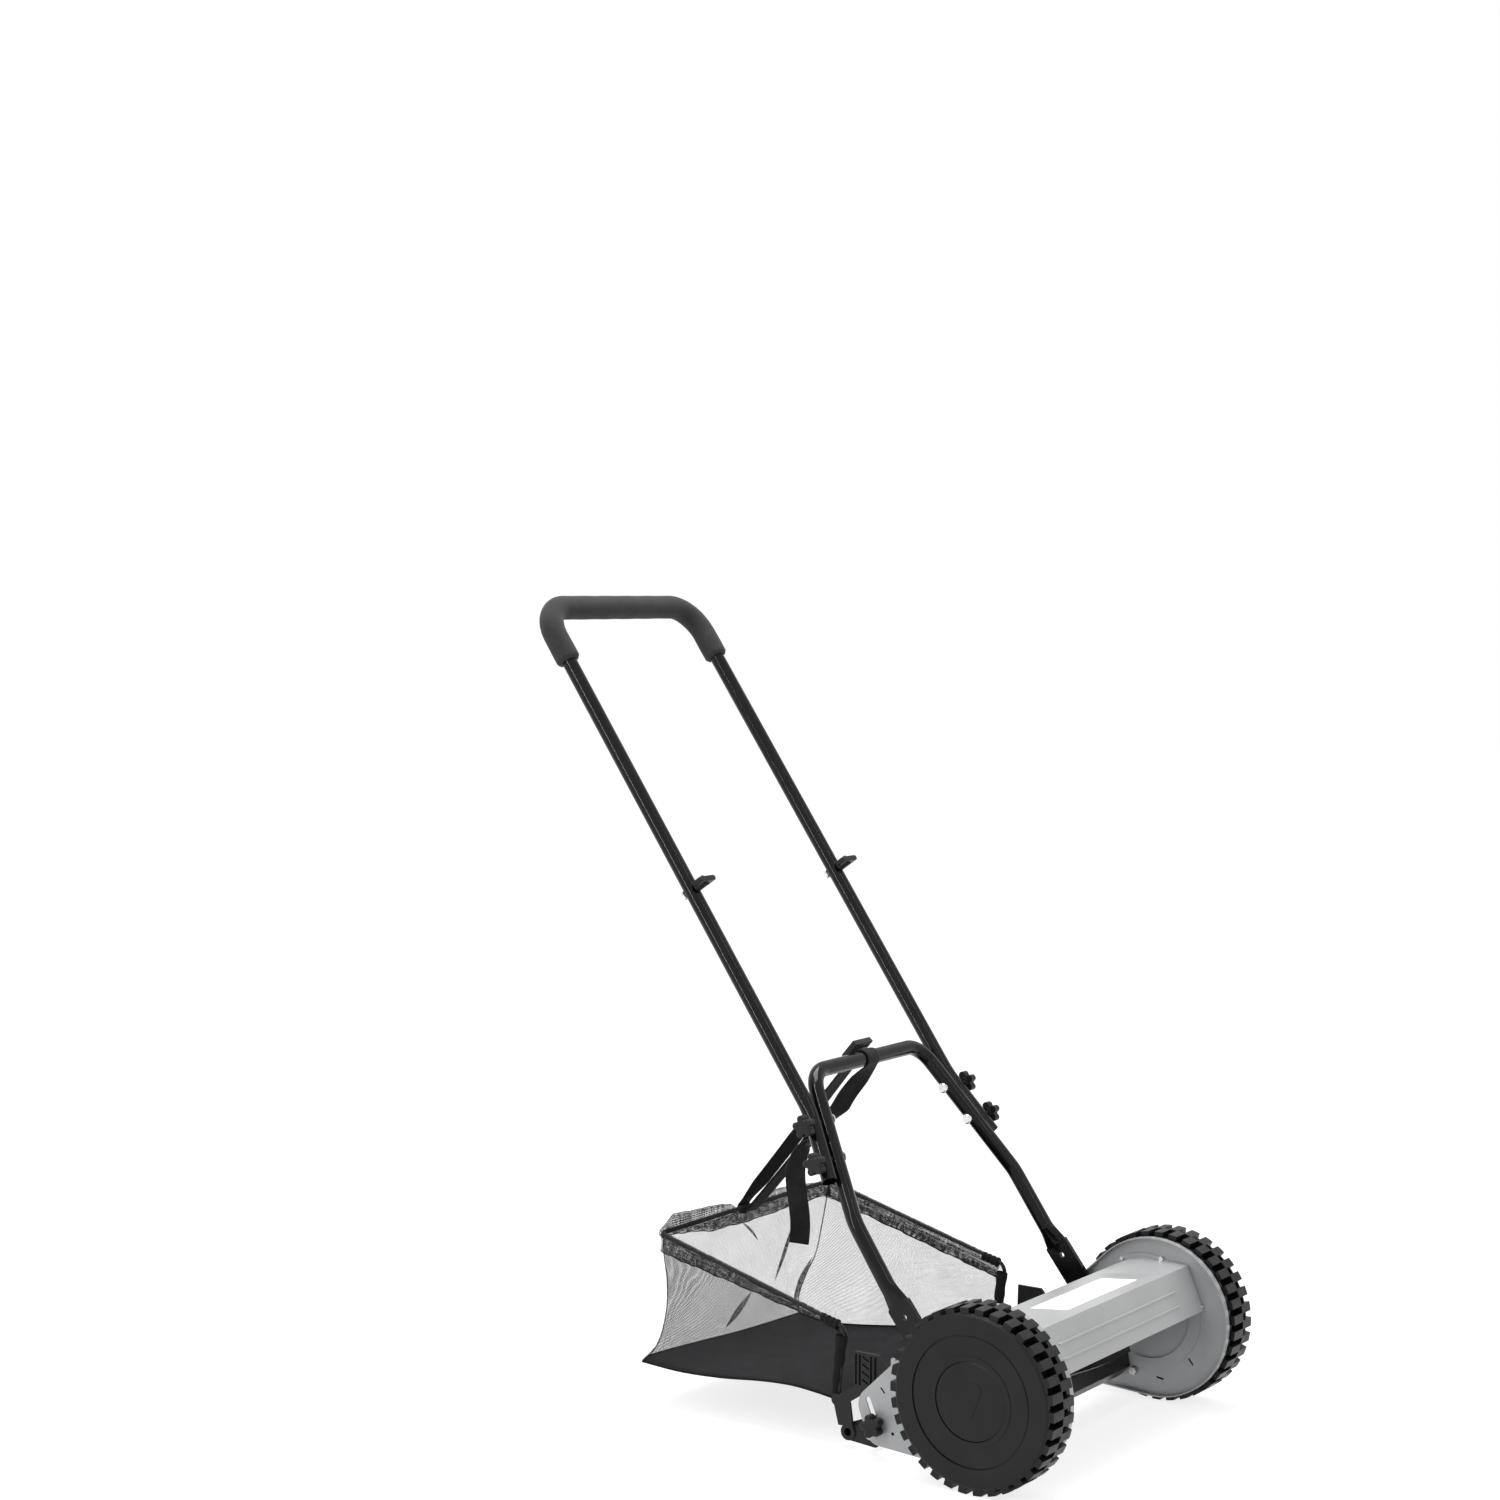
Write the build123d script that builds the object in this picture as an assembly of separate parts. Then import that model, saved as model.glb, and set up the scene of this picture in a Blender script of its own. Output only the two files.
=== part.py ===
"""Push reel mower with a hanging grass catcher.

Frame: +Z up, the mower is pushed towards -Y, the operator's left hand is on +X.
The geometry is laid out with the wheel axis over y = 0 and the ground at z = 0.
Each finished sub-part is then moved back by MIDDLE_Y, so that the origin lies on the
ground under the middle of the whole mower.  All sizes are in millimetres.
"""
from build123d import *
import math
import os

# ---------------------------------------------------------------- driving dimensions
WHEEL_R = 105.0          # over the tread lugs
WHEEL_OUT_X = 250.3      # outer face of each wheel
WHEEL_IN_X = 202.3       # inner edge of each wheel
LUGS = 34                # lugs in each of the two rows
LUG_LENGTH = 11.0        # along the circumference
RIM_FLOOR_R = 93.0       # floor of the gaps between the lugs
RIM_SHOULDER_R = 98.5    # low wall at both edges of the tread
AXLE_R = 6.0
RUN_GAP = 0.05           # radial clearance of shafts in holes

GEAR_MODULE = 2.0
RING_TEETH = 58
PINION_TEETH = 16
GEAR_CENTRES = GEAR_MODULE * (RING_TEETH - PINION_TEETH) / 2
REEL_Z_RISE = 5.0        # reel shaft above the wheel axis
REEL_Y = math.sqrt(GEAR_CENTRES ** 2 - REEL_Z_RISE ** 2)
REEL_Z = WHEEL_R + REEL_Z_RISE
REEL_R = 51.5            # circle swept by the blade edges
REEL_BLADES = 5
BLADE_STEP = 360 / REEL_BLADES
REEL_HALF = 176.0        # half of the cutting width
REEL_TWIST = 66.0        # degrees of helix along one blade
BLADE_T = 2.5

PLATE_IN_X = 198.7
PLATE_OUT_X = 200.3
PLATE_R = 99.0
FLANGE_DEPTH = 8.0       # turned-in edge of the side plates
SHEET = 1.6

KNIFE_TOP_Z = REEL_Z - REEL_R - 0.4

PIVOT_Y, PIVOT_Z = 75.0, 104.0       # handle pivot on the side plates
TUBE_R = 9.5
TUBE_WALL = 1.2
FOAM_R = 15.25
GRIP_HALF = 157.0
GRIP_Y, GRIP_Z = 692.0, 975.7        # middle of the grip crossbar
JOINT_Y, JOINT_Z = 454.0, 635.0      # upper and middle tube joint
ARCH_HALF = 121.0
ARCH_Y, ARCH_Z = 301.0, 423.5        # crossbar of the lower tube
LEG_X = 185.0
LEG_Y, LEG_Z = 195.6, 266.7          # where the legs of the lower tube turn parallel
CLAMP_HEIGHTS = (371.0, 332.0)       # bolts through lower and middle tubes
FLAT_W, FLAT_T = 32.0, 6.0           # flattened end of the lower tube
LEG_BEND_R, ARCH_BEND_R = 60.0, 38.0
MIDDLE_BEND_R, GRIP_BEND_R = 90.0, 45.0
FOAM_DROP = 81.0         # how far the foam runs down each leg from the grip corner

BAG_HALF = 186.0
BAG_HOOK_Y, BAG_HOOK_Z = 215.0, 56.0
RIM_FRONT_Y, RIM_FRONT_Z = 207.0, 142.0
RIM_REAR_Y, RIM_REAR_Z = 478.0, 215.0
BAG_FLOOR_REAR_Y = 496.0
WIRE_R = 2.5
WIRE_FRONT_BEND_R, WIRE_REAR_BEND_R = 14.0, 8.0
CLOTH = 1.0
CLOTH_INSET = 1.6        # between the cloth and the outer side of the wire

STRAP_W = 25.0
STRAP_T = 1.7

ROLLER_Y, ROLLER_R = 172.0, 20.0
ROLLER_HALF = 140.0
SLOT_LOW = (151.5, 34.4)
SLOT_HIGH = (165.5, 67.0)
HEIGHT_BOLT = (154.0, 40.0)
BOLT_R = 3.0

MIDDLE_Y = (GRIP_Y + FOAM_R - WHEEL_R) / 2

parts = {}


# ---------------------------------------------------------------- helpers
def side_plane(x):
    """Plane across the mower at x; its two axes are Y and Z."""
    return Plane.YZ.offset(x)


def slab(sketch, x0, x1):
    """Extrude a Y-Z sketch from x0 to x1."""
    return extrude(side_plane(x0) * sketch, amount=x1 - x0)


def disc(y, z, r):
    return Pos(y, z) * Circle(r)


def rod(x0, x1, y, z, r, bore=0.0):
    """Round bar, or a tube when bore is given, parallel to X."""
    section = disc(y, z, r)
    if bore:
        section -= disc(y, z, bore)
    return slab(section, x0, x1)


def polygon(*points):
    return make_face(Polyline(*points, close=True))


def hull(*circles):
    """Outline stretched round circles given as (y, z, r)."""
    edges = [e for y, z, r in circles for e in disc(y, z, r).edges()]
    return make_hull(edges)


def line_slot(a, b, width):
    return hull((*a, width / 2), (*b, width / 2))


def tube_along(points, radii, r=TUBE_R, wall=TUBE_WALL):
    """Round tube along a bent centreline; wall 0 makes a solid rod."""
    path = FilletPolyline(*points, radius=radii)
    ring = Circle(r)
    if wall:
        ring -= Circle(r - wall)
    return sweep(Plane(origin=path @ 0, z_dir=path % 0) * ring, path=path)


def mirrored(points):
    """Points for the +X side followed by their mirror image."""
    return list(points) + [(-x, y, z) for x, y, z in reversed(points)]


def along(a, b, distance):
    """Point at a distance from a towards b."""
    return Vector(*a) + (Vector(*b) - Vector(*a)).normalized() * distance


def add(name, shape):
    parts[name] = shape


def add_pair(name, shape):
    """A sub-part for the +X side and its mirror image on the -X side."""
    add(name + "_left", shape)
    add(name + "_right", mirror(shape, about=Plane.YZ))


def both(shape):
    return Compound(children=[*shape.solids(), *mirror(shape, about=Plane.YZ).solids()])


def group(*shapes):
    return Compound(children=[s for shape in shapes for s in shape.solids()])


# ---------------------------------------------------------------- gears
PRESSURE_ANGLE = math.radians(20)
FLANK_STEPS = 4


def involute(angle):
    return math.tan(angle) - angle


def gear_outline(teeth, root_r, tip_r, growth):
    """Closed outline of a spur gear with involute flanks, one tooth centred on angle 0.

    growth widens each tooth at the pitch circle, and is negative for backlash.
    """
    pitch_r = GEAR_MODULE * teeth / 2
    base_r = pitch_r * math.cos(PRESSURE_ANGLE)
    half_pitch = (math.pi * GEAR_MODULE / 2 + growth) / (2 * pitch_r)
    start_r = max(base_r, root_r)
    flank = [(root_r, half_pitch + involute(PRESSURE_ANGLE))] if root_r < base_r else []
    for step in range(FLANK_STEPS + 1):
        r = start_r + (tip_r - start_r) * step / FLANK_STEPS
        half = half_pitch + involute(PRESSURE_ANGLE) - involute(math.acos(base_r / r))
        flank.append((r, half))
    points = []
    for tooth in range(teeth):
        centre = 2 * math.pi * tooth / teeth
        points += [(r * math.cos(centre - a), r * math.sin(centre - a)) for r, a in flank]
        points += [(r * math.cos(centre + a), r * math.sin(centre + a)) for r, a in flank[::-1]]
    return polygon(*points)


MESH_ANGLE = math.degrees(math.atan2(REEL_Z_RISE, REEL_Y))
RING_TIP_R = 56.5
RING_ROOT_R = 60.5
RING_WALL_R = 66.0
GEAR_X0, GEAR_X1 = 204.0, 216.0
PINION_ROOT_R, PINION_TIP_R = 13.5, 18.0
BACKLASH = 0.25


# ---------------------------------------------------------------- wheels
HUB_R = 20.0
HUB_IN_X, HUB_OUT_X = 205.0, 238.0
FACE_IN_X = 244.5        # inside of the wheel's outer wall
FACE_OUT_X = WHEEL_OUT_X - 0.8
FACE_EDGE_R = 95.5
CAP_R = 45.0
CAP_FLOOR_X = 246.8
CAP_EDGE_X = 248.6
CAP_COLLAR_R = 51.4      # raised ring round the cap
GROOVE_R0, GROOVE_R1 = 73.1, 75.2
GROOVE_X = 248.7
NUT_CAVITY_R = 16.0
RIM_IN_R = 88.0
SPOKE_T = 2.5
SPOKE_X0 = 226.0
SPOKES = 6
ROW_OVERLAP = 0.6        # the two rows of lugs share this much at the middle


def band(x0, x1, r0, r1):
    """Rectangle of a turned section: axial span x0..x1, radial span r0..r1."""
    return Pos((x0 + x1) / 2, (r0 + r1) / 2) * Rectangle(x1 - x0, r1 - r0)


def wheel():
    section = band(HUB_IN_X, HUB_OUT_X, AXLE_R + RUN_GAP, HUB_R)
    section += band(HUB_OUT_X, CAP_FLOOR_X, NUT_CAVITY_R, HUB_R)
    section += band(FACE_IN_X, CAP_FLOOR_X, NUT_CAVITY_R, CAP_R + 1)
    section += band(FACE_IN_X, WHEEL_OUT_X - 0.2, CAP_R + 0.1, CAP_COLLAR_R)
    section += band(FACE_IN_X, FACE_OUT_X, CAP_COLLAR_R - 0.4, GROOVE_R1 - 0.2)
    section += band(FACE_IN_X, WHEEL_OUT_X, GROOVE_R1, FACE_EDGE_R)
    section -= band(GROOVE_X, WHEEL_OUT_X, GROOVE_R0, GROOVE_R1)
    section += polygon((WHEEL_OUT_X, FACE_EDGE_R), (WHEEL_OUT_X - 0.7, FACE_EDGE_R + 1.9),
                       (WHEEL_OUT_X - 2.2, RIM_SHOULDER_R), (FACE_IN_X + 0.8, RIM_SHOULDER_R),
                       (FACE_IN_X, RIM_FLOOR_R), (FACE_IN_X, RIM_FLOOR_R - 2))
    section += band(FACE_IN_X, WHEEL_OUT_X, RIM_FLOOR_R - 1, FACE_EDGE_R + 0.1)
    section += band(WHEEL_IN_X, FACE_IN_X + 0.8, RIM_IN_R, RIM_FLOOR_R)
    section += band(WHEEL_IN_X, WHEEL_IN_X + 4, RIM_IN_R, RIM_SHOULDER_R)
    section += band(GEAR_X1 - 1, FACE_IN_X + 0.5, RING_WALL_R - 4, RING_WALL_R)
    body = revolve(section, axis=Axis.X)

    ring = Circle(RING_WALL_R) - Circle(RING_TIP_R)
    ring -= Rot(0, 0, MESH_ANGLE) * gear_outline(RING_TEETH, RING_TIP_R - 1, RING_ROOT_R, BACKLASH)
    body += slab(ring, GEAR_X0, GEAR_X1)

    pitch = 360 / LUGS
    tread = Circle(WHEEL_R) - Circle(RIM_FLOOR_R - 1)
    bar = Pos(WHEEL_R, 0) * Rectangle(4 * (WHEEL_R - RIM_FLOOR_R), LUG_LENGTH)
    outer_row = Sketch() + [Rot(0, 0, k * pitch) * bar for k in range(LUGS)]
    middle_x = (WHEEL_IN_X + WHEEL_OUT_X) / 2
    outer_lugs = tread & outer_row
    body += slab(outer_lugs, middle_x - ROW_OVERLAP, WHEEL_OUT_X - 1.6)
    body += slab(Rot(0, 0, pitch / 2) * outer_lugs, WHEEL_IN_X + 0.6, middle_x + ROW_OVERLAP)

    spoke = Pos((RING_WALL_R + RIM_IN_R) / 2, 0) * Rectangle(RIM_IN_R - RING_WALL_R + 2, SPOKE_T)
    spokes = Sketch() + [Rot(0, 0, 360 * (k + 0.5) / SPOKES) * spoke for k in range(SPOKES)]
    body += slab(spokes, SPOKE_X0, FACE_IN_X + 0.5)
    return Pos(0, 0, WHEEL_R) * body


BOSS_LENGTH, BOSS_WIDTH = 46.0, 17.0
BOSS_TURN = 112.0


def hub_cap():
    """Snap-in cap with a low dome and a plain oval boss."""
    floor_x = CAP_FLOOR_X + 0.1
    section = polygon((floor_x, 0), (floor_x, CAP_R), (CAP_EDGE_X, CAP_R), (CAP_EDGE_X + 0.7, CAP_R - 1.2),
                      (CAP_EDGE_X + 1.1, 2 * CAP_R / 3), (CAP_EDGE_X + 1.2, 0))
    cap = revolve(section, axis=Axis.X)
    boss = Rot(0, 0, BOSS_TURN) * SlotOverall(BOSS_LENGTH, BOSS_WIDTH)
    cap += slab(boss, CAP_EDGE_X, WHEEL_OUT_X)
    return Pos(0, 0, WHEEL_R) * cap


add_pair("wheel", wheel())
add_pair("hub_cap", hub_cap())

AXLE_END_X = 245.0
AXLE_FLANGE_R = 15.0
AXLE_NECK_R = 10.0
WASHER_R = 11.0
WASHER_X0, WASHER_X1 = HUB_OUT_X + 0.3, HUB_OUT_X + 1.8
NUT_R, NUT_T = 9.0, 4.7
axle = rod(PLATE_IN_X - 4, AXLE_END_X, 0, WHEEL_R, AXLE_R)
axle += rod(PLATE_OUT_X, PLATE_OUT_X + 2.7, 0, WHEEL_R, AXLE_FLANGE_R)
axle += rod(PLATE_IN_X - 3, PLATE_IN_X, 0, WHEEL_R, AXLE_NECK_R)
add_pair("axle_stub", axle)

washer = rod(WASHER_X0, WASHER_X1, 0, WHEEL_R, WASHER_R, AXLE_R)
nut = slab(Pos(0, WHEEL_R) * (RegularPolygon(NUT_R, 6) - Circle(AXLE_R)), WASHER_X1, WASHER_X1 + NUT_T)
add("axle_nuts", group(both(washer), both(nut)))


# ---------------------------------------------------------------- reel
SHAFT_R = 7.0
JOURNAL_R = 6.0
SHAFT_STEP_X = 188.0
SHAFT_END_X = 218.0
SPIDER_X = (-160.0, -80.0, 0.0, 80.0, 160.0)
SPIDER_T = 3.0
SPIDER_HUB_R = 17.0
SPIDER_ARM_W = 12.0
BLADE_ROOT_R = 36.0


def reel_angle(x):
    """Turn of the blade helix at x, in degrees."""
    return REEL_TWIST * x / (2 * REEL_HALF)


def reel_spider(x):
    arm = Pos(BLADE_ROOT_R / 2 + 4, 0) * Rectangle(BLADE_ROOT_R - 8.2, SPIDER_ARM_W)
    star = Circle(SPIDER_HUB_R) + [Rot(0, 0, BLADE_STEP * k) * arm for k in range(REEL_BLADES)]
    star -= Circle(SHAFT_R)
    star = Pos(REEL_Y, REEL_Z) * Rot(0, 0, reel_angle(x)) * star
    return slab(star, x - SPIDER_T / 2, x + SPIDER_T / 2)


def reel_blade(turn):
    radial = math.sqrt(REEL_R ** 2 - BLADE_T ** 2 / 4)
    strip = Pos((BLADE_ROOT_R + radial) / 2, 0) * Rectangle(radial - BLADE_ROOT_R, BLADE_T)
    strip = Pos(REEL_Y, REEL_Z) * Rot(0, 0, turn + reel_angle(-REEL_HALF)) * strip
    section = (side_plane(-REEL_HALF) * strip).face()
    return Solid.extrude_linear_with_rotation(
        section, (-REEL_HALF, REEL_Y, REEL_Z), (2 * REEL_HALF, 0, 0), REEL_TWIST)


shaft = rod(-SHAFT_STEP_X, SHAFT_STEP_X, REEL_Y, REEL_Z, SHAFT_R)
shaft += rod(-SHAFT_END_X, SHAFT_END_X, REEL_Y, REEL_Z, JOURNAL_R)
add("reel_shaft", shaft)
add("reel_spiders", group(*[reel_spider(x) for x in SPIDER_X]))
for blade in range(REEL_BLADES):
    add(f"reel_blade_{blade + 1}", reel_blade(BLADE_STEP * blade))

pinion = Rot(0, 0, MESH_ANGLE) * gear_outline(PINION_TEETH, PINION_ROOT_R, PINION_TIP_R, -BACKLASH)
pinion -= Circle(JOURNAL_R)
add_pair("pinion", slab(Pos(REEL_Y, REEL_Z) * pinion, GEAR_X0 + 0.5, GEAR_X1 - 0.5))
PINION_RING_R = 9.0
add("pinion_rings", both(rod(GEAR_X1 - 0.3, GEAR_X1 + 0.9, REEL_Y, REEL_Z, PINION_RING_R, JOURNAL_R)))

BEARING_R = 13.0
BEARING_FLANGE_R = 17.0
BEARING_IN_X, BEARING_OUT_X = 191.0, 203.6
bearing = rod(BEARING_IN_X, BEARING_OUT_X, REEL_Y, REEL_Z, BEARING_R, JOURNAL_R + RUN_GAP)
bearing += rod(PLATE_IN_X - 3, PLATE_IN_X, REEL_Y, REEL_Z, BEARING_FLANGE_R, BEARING_R - 1)
add_pair("reel_bearing", bearing)


# ---------------------------------------------------------------- side plates
DISH_Y, DISH_Z = 11.5, 110.0
DISH_R = 72.8
DISH_INNER_R = 58.0
DISH_RISE = 2.5
PLATE_TAIL = ((157, 60, 22), (150, 34, 19))      # rounded rear corners as (y, z, r)
PIVOT_HOLE_R = 5.0
PIVOT_COLLAR_R, AXLE_COLLAR_R = 8.0, 12.0
TAB_CORNER_R = 2.0
ROLLER_SCREW_HOLE = (132, 32.5, 2.2)
PRESSED_SLOTS = (((-51, 53), (-46, 59), 2.4), ((-11, 28), (-3, 29.5), 2.4), ((143.5, 78.5), (148, 83.5), 2.2))
STOP_TAB = (132.0, 112.0, 6.0, 18.0)             # y, z, width and height of the tab on the top edge


def side_plate():
    outline = hull((0, WHEEL_R, PLATE_R), *PLATE_TAIL)
    plate = slab(outline, PLATE_IN_X, PLATE_OUT_X)
    edge = outline - offset(outline, -SHEET)
    plate += slab(edge, PLATE_OUT_X - FLANGE_DEPTH, PLATE_IN_X)
    raised = disc(DISH_Y, DISH_Z, DISH_R) - disc(DISH_Y, DISH_Z, DISH_INNER_R)
    plate += slab(raised, PLATE_IN_X - DISH_RISE, PLATE_IN_X)
    hollow = disc(DISH_Y, DISH_Z, DISH_R - SHEET) - disc(DISH_Y, DISH_Z, DISH_INNER_R + SHEET)
    plate -= slab(hollow, PLATE_OUT_X - DISH_RISE, PLATE_OUT_X + 1)
    holes = disc(0, WHEEL_R, AXLE_R) + disc(REEL_Y, REEL_Z, BEARING_R)
    holes += disc(PIVOT_Y, PIVOT_Z, PIVOT_HOLE_R) + disc(*ROLLER_SCREW_HOLE)
    holes += line_slot(SLOT_LOW, SLOT_HIGH, 2 * BOLT_R + 0.6)
    holes += [line_slot(*place) for place in PRESSED_SLOTS]
    plate -= slab(holes, PLATE_IN_X - 12, PLATE_OUT_X + 1)
    collar = disc(PIVOT_Y, PIVOT_Z, PIVOT_COLLAR_R) - disc(PIVOT_Y, PIVOT_Z, PIVOT_HOLE_R)
    collar += disc(0, WHEEL_R, AXLE_COLLAR_R) - disc(0, WHEEL_R, AXLE_R)
    collar += disc(REEL_Y, REEL_Z, BEARING_R + 4) - disc(REEL_Y, REEL_Z, BEARING_R)
    tab_y, tab_z, tab_width, tab_height = STOP_TAB
    tab = Pos(tab_y, tab_z) * RectangleRounded(tab_width, tab_height, TAB_CORNER_R)
    return plate + slab(collar, PLATE_IN_X, PLATE_OUT_X) + slab(tab, PLATE_IN_X, PLATE_OUT_X)


add_pair("side_plate", side_plate())


# ---------------------------------------------------------------- cover
COVER_END_X = PLATE_IN_X - DISH_RISE - 0.2
COVER_FLAT_X = 135.0
COVER_T = 1.2
FRONT_LOW = (-66.3, 123.3)
FRONT_TOP = (-44.0, 176.0)
REAR_TOP = (52.0, 165.0)
REAR_LIP = 3.0
TOP_STEPS = (-26.0, -8.0, 16.0, 36.0)
END_RISE = (3.4, 5.4, 8.0, 6.2)      # how far the raised ends stand above the flat top


def cover_outline(rise):
    """Closed section of the cover sheet; rise from 0 (flat top) to 1 (raised end)."""
    slope = (REAR_TOP[1] - FRONT_TOP[1]) / (REAR_TOP[0] - FRONT_TOP[0])
    top = [(y, FRONT_TOP[1] + slope * (y - FRONT_TOP[0]) + rise * up) for y, up in zip(TOP_STEPS, END_RISE)]
    outer = [FRONT_LOW, FRONT_TOP, *top, REAR_TOP, (REAR_TOP[0] + 1.4, REAR_TOP[1] - REAR_LIP)]
    inner = [(y, z - COVER_T) for y, z in top]
    inner_rear = [(REAR_TOP[0] + 0.2, REAR_TOP[1] - REAR_LIP), (REAR_TOP[0] - 0.9, REAR_TOP[1] - COVER_T)]
    inner_front = [(FRONT_TOP[0] + 0.8, FRONT_TOP[1] - COVER_T - 0.2), (FRONT_LOW[0] + 1.3, FRONT_LOW[1])]
    return polygon(*outer, *inner_rear, *reversed(inner), *inner_front)


RIB_HEIGHTS = (155.0, 139.0)
RIB_HALF = 143.0
RIB_R = 1.7
RIVETS = ((46, 172), (-8, 179.2), (-64, 128))
RIVET_R = 2.6
RIVET_X0, RIVET_X1 = 193.5, 196.2


def pressed_rib(z):
    lean = (FRONT_TOP[0] - FRONT_LOW[0]) / (FRONT_TOP[1] - FRONT_LOW[1])
    y = FRONT_LOW[0] + lean * (z - FRONT_LOW[1]) + 0.2
    ends = Pos(-RIB_HALF, y, z) * Sphere(RIB_R) + Pos(RIB_HALF, y, z) * Sphere(RIB_R)
    return rod(-RIB_HALF, RIB_HALF, y, z, RIB_R) + ends


def reel_cover():
    cover = slab(cover_outline(0), -COVER_FLAT_X, COVER_FLAT_X)
    for side in (-1, 1):
        flat = side_plane(side * COVER_FLAT_X) * cover_outline(0)
        raised = side_plane(side * COVER_END_X) * cover_outline(1)
        cover += loft([flat, raised], ruled=True)
    lip = polygon(FRONT_LOW, (FRONT_LOW[0] + 5, FRONT_LOW[1] - 1.2), (FRONT_LOW[0] + 5, FRONT_LOW[1]),
                  (FRONT_LOW[0] + 1.2, FRONT_LOW[1] + 1.2))
    cover += slab(lip, -COVER_END_X, COVER_END_X)
    for z in RIB_HEIGHTS:
        cover += pressed_rib(z)
    for y, z in RIVETS:
        seat = rod(RIVET_X0 - 0.1, RIVET_X1, y, z, RIVET_R + RUN_GAP)
        cover -= [seat, mirror(seat, about=Plane.YZ)]
    return cover


add("reel_cover", reel_cover())
add("cover_rivets", both(group(*[rod(RIVET_X0, RIVET_X1, y, z, RIVET_R) for y, z in RIVETS])))


# ---------------------------------------------------------------- bed knife
CARRIER_TOP_Z = 54.8
CARRIER = ((36, CARRIER_TOP_Z), (33, 38), (48, 23), (56, 23), (62, 30), (62, CARRIER_TOP_Z))
CARRIER_END_X = 195.6
CARRIER_OPEN_X = 190.0
CARRIER_WALL = 3.0
CARRIER_SLIT = (58.0, 27.0, 4.0)         # opening along the carrier's rear lower edge, as (y, z, r)
carrier = slab(polygon(*CARRIER), -CARRIER_END_X, CARRIER_END_X)
carrier -= slab(offset(polygon(*CARRIER), -CARRIER_WALL), -CARRIER_OPEN_X, CARRIER_OPEN_X)
carrier -= rod(-CARRIER_OPEN_X, CARRIER_OPEN_X, *CARRIER_SLIT)
add("knife_carrier", carrier)

KNIFE_BACK_Z = 57.6
KNIFE_HALF = 180.0
KNIFE = ((37.5, KNIFE_TOP_Z), (39, CARRIER_TOP_Z), (64, CARRIER_TOP_Z), (64, KNIFE_BACK_Z), (44, KNIFE_BACK_Z))
KNIFE_SCREW_X = (-150, -75, 0, 75, 150)
KNIFE_SCREW_Y = 56.5
KNIFE_SCREW_R, KNIFE_HEAD_R, KNIFE_HEAD_T = 2.5, 4.4, 1.3


def knife_screw(x):
    """Flat-headed screw through the knife, seated on its carrier."""
    stem_t = KNIFE_BACK_Z - CARRIER_TOP_Z
    stem = Pos(x, KNIFE_SCREW_Y, CARRIER_TOP_Z + stem_t / 2) * Cylinder(KNIFE_SCREW_R, stem_t)
    return stem + Pos(x, KNIFE_SCREW_Y, KNIFE_BACK_Z + KNIFE_HEAD_T / 2) * Cylinder(KNIFE_HEAD_R, KNIFE_HEAD_T)


knife = slab(polygon(*KNIFE), -KNIFE_HALF, KNIFE_HALF)
knife -= [Pos(x, KNIFE_SCREW_Y, CARRIER_TOP_Z) * Cylinder(KNIFE_SCREW_R, 12) for x in KNIFE_SCREW_X]
add("bed_knife", knife)
add("knife_screws", group(*[knife_screw(x) for x in KNIFE_SCREW_X]))

ADJUSTER_Y, ADJUSTER_Z, ADJUSTER_R = 27.2, 33.4, 5.0
ADJUSTER_IN_X = 190.5
CARRIER_PIVOT = (48.0, 38.0, 8.0)        # y, z and radius
pivot_screw = rod(CARRIER_END_X, PLATE_IN_X - DISH_RISE, *CARRIER_PIVOT)
adjuster_head = Pos(ADJUSTER_Y, ADJUSTER_Z) * RegularPolygon(ADJUSTER_R, 6)
adjuster = slab(adjuster_head, ADJUSTER_IN_X, PLATE_IN_X - 0.01)
add("knife_adjusters", both(group(pivot_screw, adjuster)))


# ---------------------------------------------------------------- rear brackets and roller
BRACKET_IN_X, BRACKET_OUT_X = 188.8, 192.1
BRACKET_PLATE = ((134, 80), (134, 94), (157, 118), (190, 118), (191, 76), (212, 63), (208, 49), (178, 69),
                 (152, 71))
BRACKET_TONGUE = ((219, 53), (212, 27), (192, 27), (197, 60))
BRACKET_GROOVES = ((160.5, 4.5), (167, 3), (182.5, 3), (187.8, 2.6))     # y and width of each upright groove
GROOVE_MID_Z, GROOVE_HEIGHT = 97.0, 36.0
BRACKET_STEPS = (82, 91, 100, 109)       # heights of the short slanted grooves
STEP_Y0, STEP_Y1, STEP_RISE, STEP_W = 171.0, 178.5, 4.0, 2.2
GROOVE_DEPTH = 2.2
BRACKET_SCREWS = ((141, 88), (157, 77.5))
BRACKET_SCREW_R = 4.0
HOOK_R = 7.0


def catcher_bracket():
    """Ribbed bracket on the side plate that carries the catcher's front wire."""
    shape = polygon(*BRACKET_PLATE) + polygon(*BRACKET_TONGUE) + disc(BAG_HOOK_Y, BAG_HOOK_Z, HOOK_R)
    shape -= disc(BAG_HOOK_Y, BAG_HOOK_Z, WIRE_R + RUN_GAP)
    body = slab(shape, BRACKET_IN_X, BRACKET_OUT_X)
    groove_x = BRACKET_OUT_X - GROOVE_DEPTH
    for y, width in BRACKET_GROOVES:
        body -= slab(Pos(y, GROOVE_MID_Z) * Rectangle(width, GROOVE_HEIGHT), groove_x, BRACKET_OUT_X)
    for z in BRACKET_STEPS:
        step = line_slot((STEP_Y0, z), (STEP_Y1, z + STEP_RISE), STEP_W)
        body -= slab(step, groove_x, BRACKET_OUT_X)
    for y, z in BRACKET_SCREWS:
        body += rod(BRACKET_OUT_X, PLATE_IN_X, y, z, BRACKET_SCREW_R)
    return body


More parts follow.
